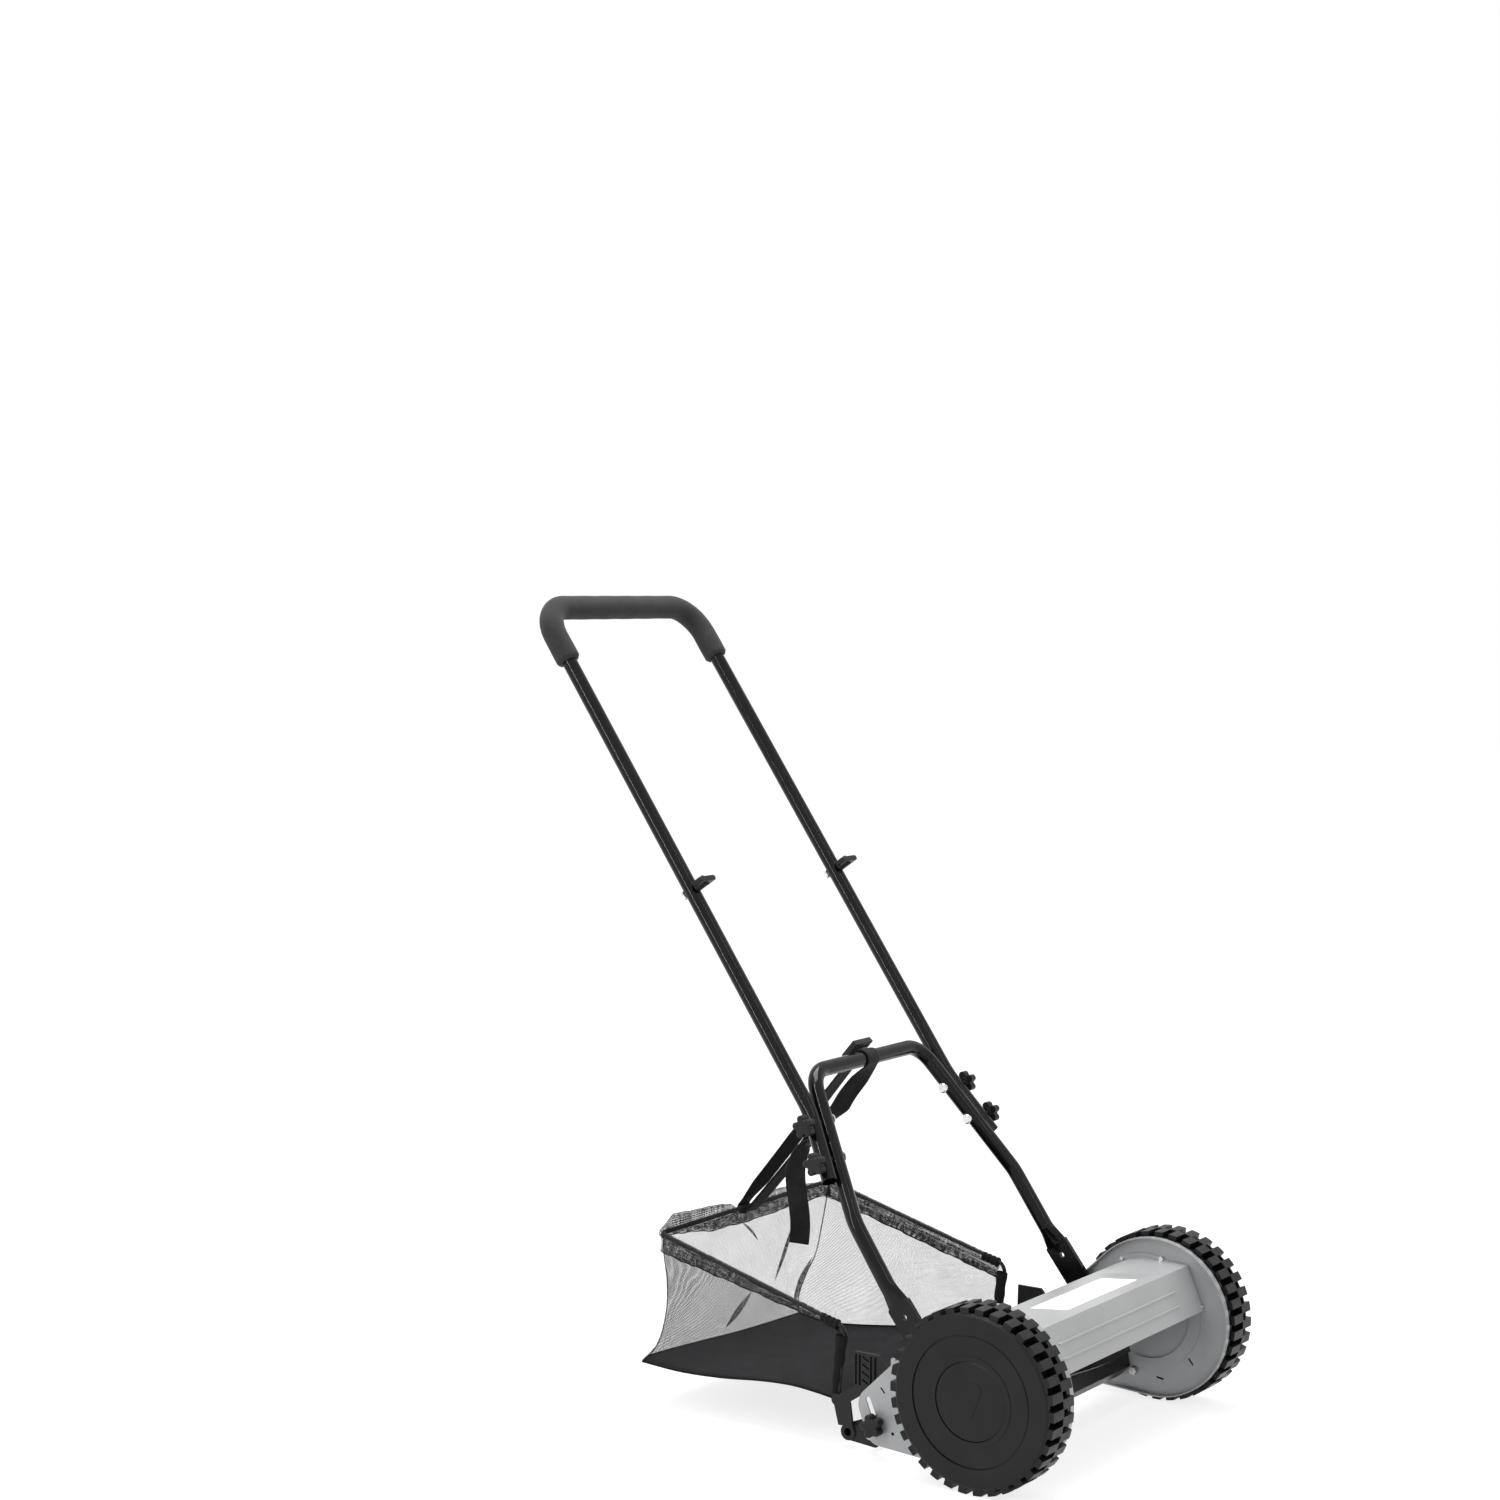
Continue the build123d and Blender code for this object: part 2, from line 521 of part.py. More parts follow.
ARM_IN_X, ARM_OUT_X = 182.4, 185.6
ARM_RIM_X = 187.7
ROLLER_AXLE_R = 5.0
ARM_REAR_BOSS = (201.7, 18.9)    # hollow boss at the rear of each arm
ARM_REAR_R, ARM_REAR_BORE_R = 9.7, 4.8
ARM_REAR_DEPTH = 10.0
ARM_FOOT = (165.0, 10.0, 3.5)    # lowest corner of each arm as (y, z, r)
ARM_END_R, ARM_RING_R = 9.0, 8.0


def roller_arm():
    rear_x = ARM_RIM_X - ARM_REAR_DEPTH
    shape = hull((*HEIGHT_BOLT, ARM_END_R), (ROLLER_Y, ROLLER_R, ARM_RING_R), ARM_FOOT, (*ARM_REAR_BOSS, ARM_REAR_R))
    shape -= disc(ROLLER_Y, ROLLER_R, ROLLER_AXLE_R) + disc(*HEIGHT_BOLT, BOLT_R)
    rims = disc(*HEIGHT_BOLT, ARM_RING_R) - disc(*HEIGHT_BOLT, BOLT_R)
    rims += disc(ROLLER_Y, ROLLER_R, ARM_RING_R) - disc(ROLLER_Y, ROLLER_R, ROLLER_AXLE_R)
    body = slab(shape, ARM_IN_X, ARM_OUT_X) + slab(rims, ARM_OUT_X, ARM_RIM_X)
    body += rod(rear_x - 2, ARM_RIM_X, *ARM_REAR_BOSS, ARM_REAR_R)
    return body - rod(rear_x, ARM_RIM_X, *ARM_REAR_BOSS, ARM_REAR_BORE_R)


add_pair("catcher_bracket", catcher_bracket())
add_pair("roller_arm", roller_arm())
add("roller_axle", rod(-ARM_RIM_X, ARM_RIM_X, ROLLER_Y, ROLLER_R, ROLLER_AXLE_R))

ROLLER_WALL = 3.0
ROLLER_CORE_R = 8.0
ROLLER_WEB_HALF = 30.0   # half length of the solid middle of the roller
roller = rod(-ROLLER_HALF, ROLLER_HALF, ROLLER_Y, ROLLER_R, ROLLER_R, ROLLER_AXLE_R + RUN_GAP)
for end in (-1, 1):
    roller -= rod(end * ROLLER_WEB_HALF, end * (ROLLER_HALF + 1), ROLLER_Y, ROLLER_R, ROLLER_R - ROLLER_WALL,
                  ROLLER_CORE_R)
add("rear_roller", roller)

KNOB_BORE_R = BOLT_R + RUN_GAP
HEIGHT_BOLT_END_X = 212.4
HEIGHT_HEAD_R, HEIGHT_HEAD_T = 6.0, 3.4
HEIGHT_SPACER_R = 5.0
height_bolt = rod(ARM_IN_X - HEIGHT_HEAD_T + 1, HEIGHT_BOLT_END_X, *HEIGHT_BOLT, BOLT_R)
height_bolt += rod(ARM_IN_X - HEIGHT_HEAD_T, ARM_IN_X, *HEIGHT_BOLT, HEIGHT_HEAD_R)
height_bolt += rod(ARM_RIM_X, PLATE_IN_X - 0.8, *HEIGHT_BOLT, HEIGHT_SPACER_R, BOLT_R - 0.5)
add("height_bolts", both(height_bolt))


# ---------------------------------------------------------------- knobs
KNOB_BORE_DEPTH = 12.0
KNOB_NECK_R, KNOB_NECK = 7.0, 4.0
KNOB_HEAD = 11.0         # thickness of the lobed head
KNOB_BEVEL, WING_BEVEL = 1.2, 1.0
KNOB_LOBES = 5
LOBE_R, LOBE_OFFSET = 4.6, 9.3
WING_SPAN, WING_T = 32.0, 7.0
WING_FOOT, WING_HEIGHT = 6.0, 14.0
WING_CORNER_R = 3.0


def knob_bore():
    return Pos(0, 0, KNOB_BORE_DEPTH / 2) * Cylinder(KNOB_BORE_R, KNOB_BORE_DEPTH)


def star_knob():
    """Five-lobed hand knob along +Z, seated at z = 0, with a blind hole for its bolt."""
    lobe = Pos(LOBE_OFFSET, 0) * Circle(LOBE_R)
    lobes = Circle(LOBE_OFFSET) + [Rot(0, 0, 360 * k / KNOB_LOBES) * lobe for k in range(KNOB_LOBES)]
    knob = extrude(Pos(0, 0, KNOB_NECK) * lobes, amount=KNOB_HEAD)
    knob = chamfer(knob.faces().sort_by(Axis.Z)[-1].edges(), KNOB_BEVEL)
    knob += Pos(0, 0, KNOB_NECK / 2) * Cylinder(KNOB_NECK_R, KNOB_NECK)
    return knob - knob_bore()


def wing_knob():
    """Two-winged hand knob along +Z, seated at z = 0."""
    knob = Pos(0, 0, WING_HEIGHT / 2) * Cylinder(KNOB_NECK_R, WING_HEIGHT)
    wings = extrude(Pos(0, 0, WING_FOOT) * RectangleRounded(WING_SPAN, WING_T, WING_CORNER_R), amount=WING_HEIGHT)
    knob += chamfer(wings.faces().sort_by(Axis.Z)[-1].edges(), WING_BEVEL)
    return knob - knob_bore()


def facing_x(shape, x, y, z):
    """Place a knob with its axis along +X."""
    return Plane(origin=(x, y, z), x_dir=(0, 1, 0), z_dir=(1, 0, 0)) * shape


add_pair("height_knob", facing_x(star_knob(), PLATE_OUT_X + 0.3, *HEIGHT_BOLT))


# ---------------------------------------------------------------- lower tube
def leg_point(z):
    """Centre of the sloping leg of the lower tube at height z."""
    part = (ARCH_Z - z) / (ARCH_Z - LEG_Z)
    return (ARCH_HALF + part * (LEG_X - ARCH_HALF), ARCH_Y + part * (LEG_Y - ARCH_Y), z)


FLAT_START = (186.0, 150.0, 200.6)
FLAT_HOLE = (124, 167, 3.2)
EYE_R = PIVOT_HOLE_R + RUN_GAP
flat_full = along(FLAT_START, (FLAT_START[0], PIVOT_Y, PIVOT_Z), 30)
flat_run = Vector(0, PIVOT_Y, PIVOT_Z) - Vector(0, FLAT_START[1], FLAT_START[2])


def flattened_end():
    """Tube pressed flat, from the round leg down to the eye at the pivot."""
    round_end = Plane(origin=FLAT_START, x_dir=(1, 0, 0), z_dir=flat_run) * Circle(TUBE_R)
    flat_end = Plane(origin=flat_full, x_dir=(1, 0, 0), z_dir=flat_run) * RectangleRounded(FLAT_T, FLAT_W, 2.9)
    body = loft([round_end, flat_end])
    across = flat_run.normalized().cross(Vector(1, 0, 0)) * (FLAT_W / 2 - 3)
    overlap = flat_full - flat_run.normalized() * 2
    corners = [overlap + across, overlap - across]
    strip = hull((PIVOT_Y, PIVOT_Z, FLAT_W / 2), *[(c.Y, c.Z, 3) for c in corners])
    strip -= disc(PIVOT_Y, PIVOT_Z, EYE_R) + disc(*FLAT_HOLE)
    half = FLAT_T / 2 + 0.1
    return body + slab(strip, FLAT_START[0] - half, FLAT_START[0] + half)


def clamp_holes(x0, x1):
    """Bolt holes along X through the tubes of one side."""
    return [rod(x0, x1, *clamp_point(z)[1:], BOLT_R + 0.2) for z in CLAMP_HEIGHTS]


TUBE_PITCH = 20.2        # middle tube beside the lower tube, centre to centre along X
MIDDLE_LAG = 4.0         # middle tube behind the lower tube along Y


def clamp_point(z):
    x, y, _ = leg_point(z)
    return (x, y + MIDDLE_LAG / 2, z)


def lower_tube():
    side = [FLAT_START, (LEG_X, LEG_Y, LEG_Z), (ARCH_HALF, ARCH_Y, ARCH_Z)]
    tube = tube_along(mirrored(side), [LEG_BEND_R, ARCH_BEND_R, ARCH_BEND_R, LEG_BEND_R])
    leg_run = Vector(LEG_X, LEG_Y, LEG_Z) - Vector(*FLAT_START)
    plug = Plane(origin=FLAT_START, z_dir=leg_run) * Cylinder(TUBE_R, 8)
    end = flattened_end() + plug
    tube += [end, mirror(end, about=Plane.YZ)]
    for hole in clamp_holes(100, 175):
        tube -= [hole, mirror(hole, about=Plane.YZ)]
    return tube


add("lower_tube", lower_tube())

PIVOT_HEAD_R = 9.0
PIVOT_IN_X = 179.2
PIVOT_OUT_X = PLATE_OUT_X + 3.5
eye_in_x = FLAT_START[0] - FLAT_T / 2
eye_out_x = FLAT_START[0] + FLAT_T / 2
pivot_bolt = rod(PIVOT_IN_X + 1, PIVOT_OUT_X - 0.2, PIVOT_Y, PIVOT_Z, PIVOT_HOLE_R)
pivot_bolt += rod(PIVOT_IN_X, eye_in_x - 0.3, PIVOT_Y, PIVOT_Z, PIVOT_HEAD_R)
pivot_bolt += rod(PLATE_OUT_X, PIVOT_OUT_X, PIVOT_Y, PIVOT_Z, 7.5)
spacer = rod(eye_out_x + 0.3, PLATE_IN_X - DISH_RISE - 0.05, PIVOT_Y, PIVOT_Z, PIVOT_HEAD_R, PIVOT_HOLE_R)
add("handle_pivots", both(pivot_bolt + spacer))


# ---------------------------------------------------------------- middle and upper tubes
JOINT = (GRIP_HALF, JOINT_Y, JOINT_Z)
GRIP_CORNER = (GRIP_HALF, GRIP_Y, GRIP_Z)
SEAM_DROP, SEAM_GAP = 22.0, 0.3  # where the upper tube ends below the joint, and its gap to the collar
COLLAR = 4.0
SEAM = along(JOINT, GRIP_CORNER, -SEAM_DROP)
NECK_TOP = along(JOINT, GRIP_CORNER, 20)
NECK_R = TUBE_R - TUBE_WALL - 0.1
upper_run = (Vector(*GRIP_CORNER) - Vector(*JOINT)).normalized()
bolt_run = Vector(0, -upper_run.Z, upper_run.Y)
BEND_Z = 384.0
MIDDLE_END_Z = 311.0


def joint_hole():
    return Plane(origin=JOINT, z_dir=bolt_run) * Cylinder(BOLT_R + 0.2, 60)


def middle_tube():
    bend = along(JOINT, GRIP_CORNER, -(JOINT_Z - BEND_Z) / upper_run.Z)
    x, y, z = leg_point(MIDDLE_END_Z)
    tip = (x + TUBE_PITCH, y + MIDDLE_LAG, z)
    seam_gap = along(JOINT, GRIP_CORNER, -SEAM_DROP - SEAM_GAP)
    tube = tube_along([tuple(seam_gap), tuple(bend), tip], [MIDDLE_BEND_R])
    collar = Plane(origin=seam_gap, z_dir=-upper_run) * (Circle(TUBE_R) - Circle(NECK_R - TUBE_WALL))
    tube += extrude(collar, amount=COLLAR)
    neck = Plane(origin=seam_gap, z_dir=upper_run) * (Circle(NECK_R) - Circle(NECK_R - TUBE_WALL))
    tube += extrude(neck, amount=(NECK_TOP - seam_gap).length)
    tube -= joint_hole()
    for hole in clamp_holes(150, 230):
        tube -= hole
    return tube


def grip_tube():
    side = [tuple(SEAM), GRIP_CORNER]
    tube = tube_along(mirrored(side), [GRIP_BEND_R, GRIP_BEND_R])
    hole = joint_hole()
    return tube - hole - mirror(hole, about=Plane.YZ)


add_pair("middle_tube", middle_tube())
add("grip_tube", grip_tube())

foam_start = along(GRIP_CORNER, JOINT, FOAM_DROP)
foam_side = [tuple(foam_start), GRIP_CORNER]
add("grip_foam", tube_along(mirrored(foam_side), [GRIP_BEND_R, GRIP_BEND_R], FOAM_R, FOAM_R - TUBE_R - 0.1))

bolt_plane = Plane(origin=JOINT, z_dir=bolt_run)
JOINT_HEAD_R, JOINT_HEAD_T, JOINT_HEAD_Z = 6.0, 3.4, -TUBE_R - 1.8
JOINT_STEM, JOINT_STEM_Z = 31.5, 5.75
joint_stem = Pos(0, 0, JOINT_STEM_Z) * Cylinder(BOLT_R, JOINT_STEM)
joint_bolt = bolt_plane * (joint_stem + Pos(0, 0, JOINT_HEAD_Z) * Cylinder(JOINT_HEAD_R, JOINT_HEAD_T))
add("joint_bolts", both(joint_bolt))
knob_plane = Plane(origin=Vector(*JOINT) + bolt_run * (TUBE_R + 0.4), x_dir=(1, 0, 0), z_dir=bolt_run)
add_pair("joint_knob", knob_plane * wing_knob())

CLAMP_HEAD_X = 12.9      # head of each clamp bolt clear of the sloping leg
CLAMP_HEAD_R, CLAMP_HEAD_T, CLAMP_BEVEL = 6.5, 4.0, 1.8
CLAMP_SEAT = 3.4         # knob clear of the middle tube
CLAMP_GRIP = 11.0        # length of bolt inside the knob
clamp_bolts = []
for label, z in zip(("upper", "lower"), CLAMP_HEIGHTS):
    x, y, _ = clamp_point(z)
    seat = x + TUBE_PITCH + TUBE_R + CLAMP_SEAT
    head = rod(x - CLAMP_HEAD_X - CLAMP_HEAD_T, x - CLAMP_HEAD_X, y, z, CLAMP_HEAD_R)
    head = chamfer(head.faces().sort_by(Axis.X)[0].edges(), CLAMP_BEVEL)
    clamp_bolts.append(head + rod(x - CLAMP_HEAD_X - 0.6, seat + CLAMP_GRIP, y, z, BOLT_R))
    add_pair(f"clamp_knob_{label}", facing_x(star_knob(), seat, y, z))
add("clamp_bolts", both(group(*clamp_bolts)))


# ---------------------------------------------------------------- grass catcher
def catcher_wire():
    side = [(BAG_HALF, BAG_HOOK_Y, BAG_HOOK_Z + 2), (BAG_HALF, RIM_FRONT_Y, RIM_FRONT_Z),
            (BAG_HALF, RIM_REAR_Y, RIM_REAR_Z)]
    bends = [WIRE_FRONT_BEND_R, WIRE_REAR_BEND_R, WIRE_REAR_BEND_R, WIRE_FRONT_BEND_R]
    wire = tube_along(mirrored(side), bends, WIRE_R, 0)
    return wire + rod(-BRACKET_OUT_X, BRACKET_OUT_X, BAG_HOOK_Y, BAG_HOOK_Z, WIRE_R)


add("catcher_wire", catcher_wire())

FLOOR_Z = BAG_HOOK_Z + 1
side_cloth = polygon((BAG_HOOK_Y + 4, FLOOR_Z + 0.6), (BAG_FLOOR_REAR_Y, FLOOR_Z + 0.6),
                     (RIM_REAR_Y + 2, RIM_REAR_Z - 4), (RIM_FRONT_Y + 16, RIM_FRONT_Z - 1),
                     (RIM_FRONT_Y + 6, RIM_FRONT_Z - 16))
add_pair("catcher_side", slab(side_cloth, BAG_HALF - 0.5 - CLOTH, BAG_HALF - 0.5))
floor_cloth = Pos(0, (BAG_HOOK_Y + 4 + BAG_FLOOR_REAR_Y) / 2, FLOOR_Z)
add("catcher_floor", floor_cloth * Box(2 * (BAG_HALF - CLOTH_INSET), BAG_FLOOR_REAR_Y - BAG_HOOK_Y - 4, CLOTH))
rear_cloth = polygon((BAG_FLOOR_REAR_Y - 1.4, FLOOR_Z + 0.6), (BAG_FLOOR_REAR_Y, FLOOR_Z + 0.6),
                     (RIM_REAR_Y + 1.4, RIM_REAR_Z - 4), (RIM_REAR_Y, RIM_REAR_Z - 4))
STRAP_NOTCH = (40.0, 30.0, 32.0)
rear = slab(rear_cloth, -BAG_HALF + CLOTH_INSET, BAG_HALF - CLOTH_INSET)
add("catcher_rear", rear - Pos(0, RIM_REAR_Y, RIM_REAR_Z) * Box(*STRAP_NOTCH))


# ---------------------------------------------------------------- carrying strap
strap_run = Vector(0, ARCH_Y - RIM_REAR_Y, ARCH_Z - RIM_REAR_Z).normalized()
strap_out = Vector(0, strap_run.Z, -strap_run.Y)
TOP_LOOP_R = TUBE_R + 0.4
LOW_LOOP_R = WIRE_R + 3.5


def strap_loop():
    outer = hull((ARCH_Y, ARCH_Z, TOP_LOOP_R + STRAP_T), (RIM_REAR_Y, RIM_REAR_Z, LOW_LOOP_R + STRAP_T))
    inner = hull((ARCH_Y, ARCH_Z, TOP_LOOP_R), (RIM_REAR_Y, RIM_REAR_Z, LOW_LOOP_R))
    return slab(outer - inner, -STRAP_W / 2, STRAP_W / 2)


add("strap_loop", strap_loop())

BUCKLE_OFFSET = (13.2, 11.3)     # buckle behind and above the crossbar
BUCKLE = (38.0, 26.0, 7.0)
BUCKLE_SLOT_Y = 6.0
buckle_place = Plane(origin=(0, ARCH_Y + BUCKLE_OFFSET[0], ARCH_Z + BUCKLE_OFFSET[1]), x_dir=(1, 0, 0),
                     z_dir=(0, *BUCKLE_OFFSET))
buckle_slot = Box(STRAP_W + 2, 4, 3 * BUCKLE[2])
buckle_slots = [Pos(0, y, 0) * buckle_slot for y in (-BUCKLE_SLOT_Y, BUCKLE_SLOT_Y)]
add("strap_buckle", buckle_place * (Box(*BUCKLE) - buckle_slots))

SLIDER = (33.0, 20.0, 3.4)
SLIDER_RUN = 142.0       # from the catcher's rim up along the strap
SLIDER_LIFT = 13.2       # from the middle of the loop to its rear band
SLIDER_SLOT, SLIDER_SLOT_Y = (26.5, 3.0, 8.0), 4.5
slider_mid = Vector(0, RIM_REAR_Y, RIM_REAR_Z) + strap_run * SLIDER_RUN
slider_place = Plane(origin=slider_mid - strap_out * SLIDER_LIFT, x_dir=(1, 0, 0), z_dir=strap_out)
add("strap_slider", slider_place * (Box(*SLIDER) - Pos(0, SLIDER_SLOT_Y, 0) * Box(*SLIDER_SLOT)))
TAIL_X, TAIL_Y = -20.0, 388.0
TAIL_TURN = -54.8
TAIL_TOP, TAIL_LOW = 305.0, 183.0
tail = Rot(0, 0, TAIL_TURN) * Box(STRAP_W, STRAP_T, TAIL_TOP - TAIL_LOW)
add("strap_tail", Pos(TAIL_X, TAIL_Y, (TAIL_TOP + TAIL_LOW) / 2) * tail)


# ---------------------------------------------------------------- export
os.makedirs("parts", exist_ok=True)
for name, shape in parts.items():
    export_step(Pos(0, -MIDDLE_Y, 0) * shape, f"parts/{name}.step")
print(len(parts), "sub-parts, shifted by", MIDDLE_Y)
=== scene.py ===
import math

import bpy
import numpy as np
from mathutils import Matrix, Vector, noise


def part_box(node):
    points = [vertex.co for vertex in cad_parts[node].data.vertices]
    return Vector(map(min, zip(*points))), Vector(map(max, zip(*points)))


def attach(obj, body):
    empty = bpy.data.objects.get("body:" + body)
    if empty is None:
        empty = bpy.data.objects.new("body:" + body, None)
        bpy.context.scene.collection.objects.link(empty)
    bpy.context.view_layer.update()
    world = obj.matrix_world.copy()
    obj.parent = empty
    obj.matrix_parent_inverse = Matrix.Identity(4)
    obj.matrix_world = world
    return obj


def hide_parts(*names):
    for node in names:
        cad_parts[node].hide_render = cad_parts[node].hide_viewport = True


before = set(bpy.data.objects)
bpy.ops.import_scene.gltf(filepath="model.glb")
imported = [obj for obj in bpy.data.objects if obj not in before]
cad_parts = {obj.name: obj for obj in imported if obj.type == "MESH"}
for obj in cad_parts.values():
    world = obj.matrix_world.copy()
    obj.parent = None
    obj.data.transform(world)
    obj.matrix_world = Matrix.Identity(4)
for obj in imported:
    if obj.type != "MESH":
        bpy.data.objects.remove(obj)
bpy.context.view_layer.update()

# ---------------------------------------------------------------- places
# Sizes are in metres.  Lengthways places (y) are measured from the wheel axis and
# heights from the ground, and at() moves them into the row frame.
wheel_low, wheel_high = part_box("wheel_left")
AXLE_Y = (wheel_low.y + wheel_high.y) / 2


def at(x, y, z):
    return np.array((x, AXLE_Y + y, z))


# Grass catcher: the rim wire, and the lower edges and rear seams of the cloth as (x, y, z)
RIM_X = 0.186
RIM_FRONT = (0.207, 0.142)
RIM_REAR = (0.478, 0.215)
RIM_CORNER = 0.008
NEAR_REAR = (-0.187, 0.504, 0.052)
FAR_REAR = (0.145, 0.497, 0.042)
FLOOR_EDGES = {
    -1: ((-0.185, 0.218, 0.0545), (-0.187, 0.248, 0.0590), (-0.187, 0.284, 0.0612), (-0.187, 0.328, 0.0588),
         (-0.187, 0.386, 0.0525), (-0.187, 0.446, 0.0496), NEAR_REAR),
    1: ((0.185, 0.218, 0.0570), (0.183, 0.290, 0.0480), (0.180, 0.361, 0.0385), (0.172, 0.418, 0.0325),
        (0.160, 0.460, 0.0325), FAR_REAR),
}
REAR_EDGE = (NEAR_REAR, (-0.178, 0.500, 0.0575), (-0.130, 0.498, 0.0562), (-0.077, 0.497, 0.0530),
             (0.010, 0.497, 0.0472), (0.078, 0.497, 0.0442), FAR_REAR)
REAR_SEAMS = {
    -1: ((-0.1845, 0.4735, 0.190), (-0.184, 0.4690, 0.157), (-0.184, 0.4700, 0.119), (-0.186, 0.4810, 0.079)),
    1: ((0.1780, 0.4820, 0.165), (0.169, 0.4870, 0.120), (0.149, 0.4890, 0.095), (0.136, 0.4920, 0.066)),
}
MESH_PITCH = 0.0014
MESH_THREAD = 0.285
HEM_THREAD = 0.35

# Strap
BAR = (0.301, 0.4235)
BAR_LOOP_R = 0.0108
WIRE_LOOP_R = 0.0068
STRAP_W = 0.025
STRAP_T = 0.0016

# Grip
GRIP_HALF = 0.157
GRIP = (0.692, 0.9757)
JOINT = (0.454, 0.635)
GRIP_BEND = 0.045
FOAM_R = 0.01525
FOAM_DOWN = 0.081


# ---------------------------------------------------------------- mesh helpers
def sheet_mesh(name, rows, wrap=False, capped=False):
    """Object through a grid of points; wrap joins the last column to the first.

    Its UV map is in metres along and across the grid, so that a weave keeps its scale.
    """
    rows = np.asarray(rows, float)
    count, across = rows.shape[:2]
    u_steps = np.linalg.norm(np.diff(rows, axis=1), axis=2).mean(0)
    v_steps = np.linalg.norm(np.diff(rows, axis=0), axis=2).mean(1)
    us = np.concatenate(([0], np.cumsum(u_steps)))
    vs = np.concatenate(([0], np.cumsum(v_steps)))
    if wrap:
        closing = np.linalg.norm(rows[:, 0] - rows[:, -1], axis=1).mean()
        us = np.append(us, us[-1] + closing)
    mesh = bpy.data.meshes.new(name)
    faces, corners = [], []
    columns = across if wrap else across - 1
    for i in range(count - 1):
        for j in range(columns):
            k = (j + 1) % across
            faces.append((i * across + j, i * across + k, (i + 1) * across + k, (i + 1) * across + j))
            corners += [(us[j], vs[i]), (us[j + 1], vs[i]), (us[j + 1], vs[i + 1]), (us[j], vs[i + 1])]
    if capped:
        first = list(range(across))
        last = [(count - 1) * across + j for j in range(across)]
        faces += [first[::-1], last]
        corners += [(us[j], 0) for j in first[::-1]] + [(us[j], vs[-1]) for j in first]
    mesh.from_pydata([tuple(p) for p in rows.reshape(-1, 3)], [], faces)
    uv = mesh.uv_layers.new(name="metres")
    uv.data.foreach_set("uv", np.array(corners, np.float32).ravel())
    mesh.shade_smooth()
    piece = bpy.data.objects.new(name, mesh)
    bpy.context.scene.collection.objects.link(piece)
    return piece


def finish_piece(piece, look, body):
    piece.data.materials.clear()
    piece.data.materials.append(look)
    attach(piece, body)
    return piece


def smooth_path(corners, radii, step=0.004):
    """Points along straight runs between corners, with each inner corner rounded to its radius."""
    corners = [np.array(c, float) for c in corners]
    out = [corners[0]]
    for i in range(1, len(corners) - 1):
        before, corner, after = corners[i - 1], corners[i], corners[i + 1]
        a = (before - corner) / np.linalg.norm(before - corner)
        b = (after - corner) / np.linalg.norm(after - corner)
        half = math.acos(np.clip(a @ b, -1, 1)) / 2
        reach = radii[i - 1] / math.tan(half)
        start, end = corner + a * reach, corner + b * reach
        middle = corner + (a + b) / np.linalg.norm(a + b) * radii[i - 1] / math.sin(half)
        ra, rb = start - middle, end - middle
        angle = math.pi - 2 * half
        turns = max(4, int(radii[i - 1] * angle / step))
        for k in range(turns + 1):
            t = k / turns
            out.append(middle + (ra * math.sin((1 - t) * angle) + rb * math.sin(t * angle)) / math.sin(angle))
    out.append(corners[-1])
    dense = [out[0]]
    for a, b in zip(out, out[1:]):
        parts = max(1, int(np.linalg.norm(b - a) / step))
        dense += [a + (b - a) * (k + 1) / parts for k in range(parts)]
    return np.array(dense)


def sweep(name, path, outline, up=(0, 0, 1), capped=True):
    """Grid mesh of an outline carried along a path.

    outline(t) gives (side, up) pairs at the fraction t of the path.
    """
    path = np.asarray(path)
    along = np.gradient(path, axis=0)
    along /= np.linalg.norm(along, axis=1)[:, None]
    lengths = np.concatenate(([0], np.cumsum(np.linalg.norm(np.diff(path, axis=0), axis=1))))
    rows = []
    for point, heading, run in zip(path, along, lengths / lengths[-1]):
        side = np.cross(heading, up)
        side /= np.linalg.norm(side)
        over = np.cross(side, heading)
        rows.append([point + side * a + over * b for a, b in outline(run)])
    return sheet_mesh(name, rows, True, capped)


def round_outline(radius, sides=16, flat=1.0):
    angles = [2 * math.pi * k / sides for k in range(sides)]
    return [(radius * math.cos(a), radius * flat * math.sin(a)) for a in angles]


def coons(top, bottom, left, right):
    """Grid of points filled in between four edge curves."""
    columns, rows = len(top), len(left)
    u = np.linspace(0, 1, columns)[None, :, None]
    v = np.linspace(0, 1, rows)[:, None, None]
    across = (1 - v) * top[None] + v * bottom[None]
    down = (1 - u) * left[:, None] + u * right[:, None]
    corners = (1 - u) * (1 - v) * top[0] + u * (1 - v) * top[-1]
    corners = corners + (1 - u) * v * bottom[0] + u * v * bottom[-1]
    return across + down - corners


def blend_curve(start, end, bulge, points):
    """Curve from start to end that bows out by the vector bulge at its middle."""
    t = np.linspace(0, 1, points)[:, None]
    start, end, bulge = (np.array(a, float) for a in (start, end, bulge))
    return start + (end - start) * t + bulge * np.sin(math.pi * t)


def smooth_through(points, count):
    """Evenly spaced points on a smooth curve through given ones."""
    points = np.array(points, float)
    ends = np.vstack([2 * points[0] - points[1], points, 2 * points[-1] - points[-2]])
    curve = []
    for a, b, c, d in zip(ends, ends[1:], ends[2:], ends[3:]):
        for t in np.linspace(0, 1, 24, endpoint=False):
            curve.append(0.5 * (2 * b + (c - a) * t + (2 * a - 5 * b + 4 * c - d) * t ** 2
                                + (3 * b - a - 3 * c + d) * t ** 3))
    curve = np.array(curve + [points[-1]])
    run = np.concatenate(([0], np.cumsum(np.linalg.norm(np.diff(curve, axis=0), axis=1))))
    places = np.linspace(0, run[-1], count)
    return np.stack([np.interp(places, run, curve[:, k]) for k in range(3)], axis=1)


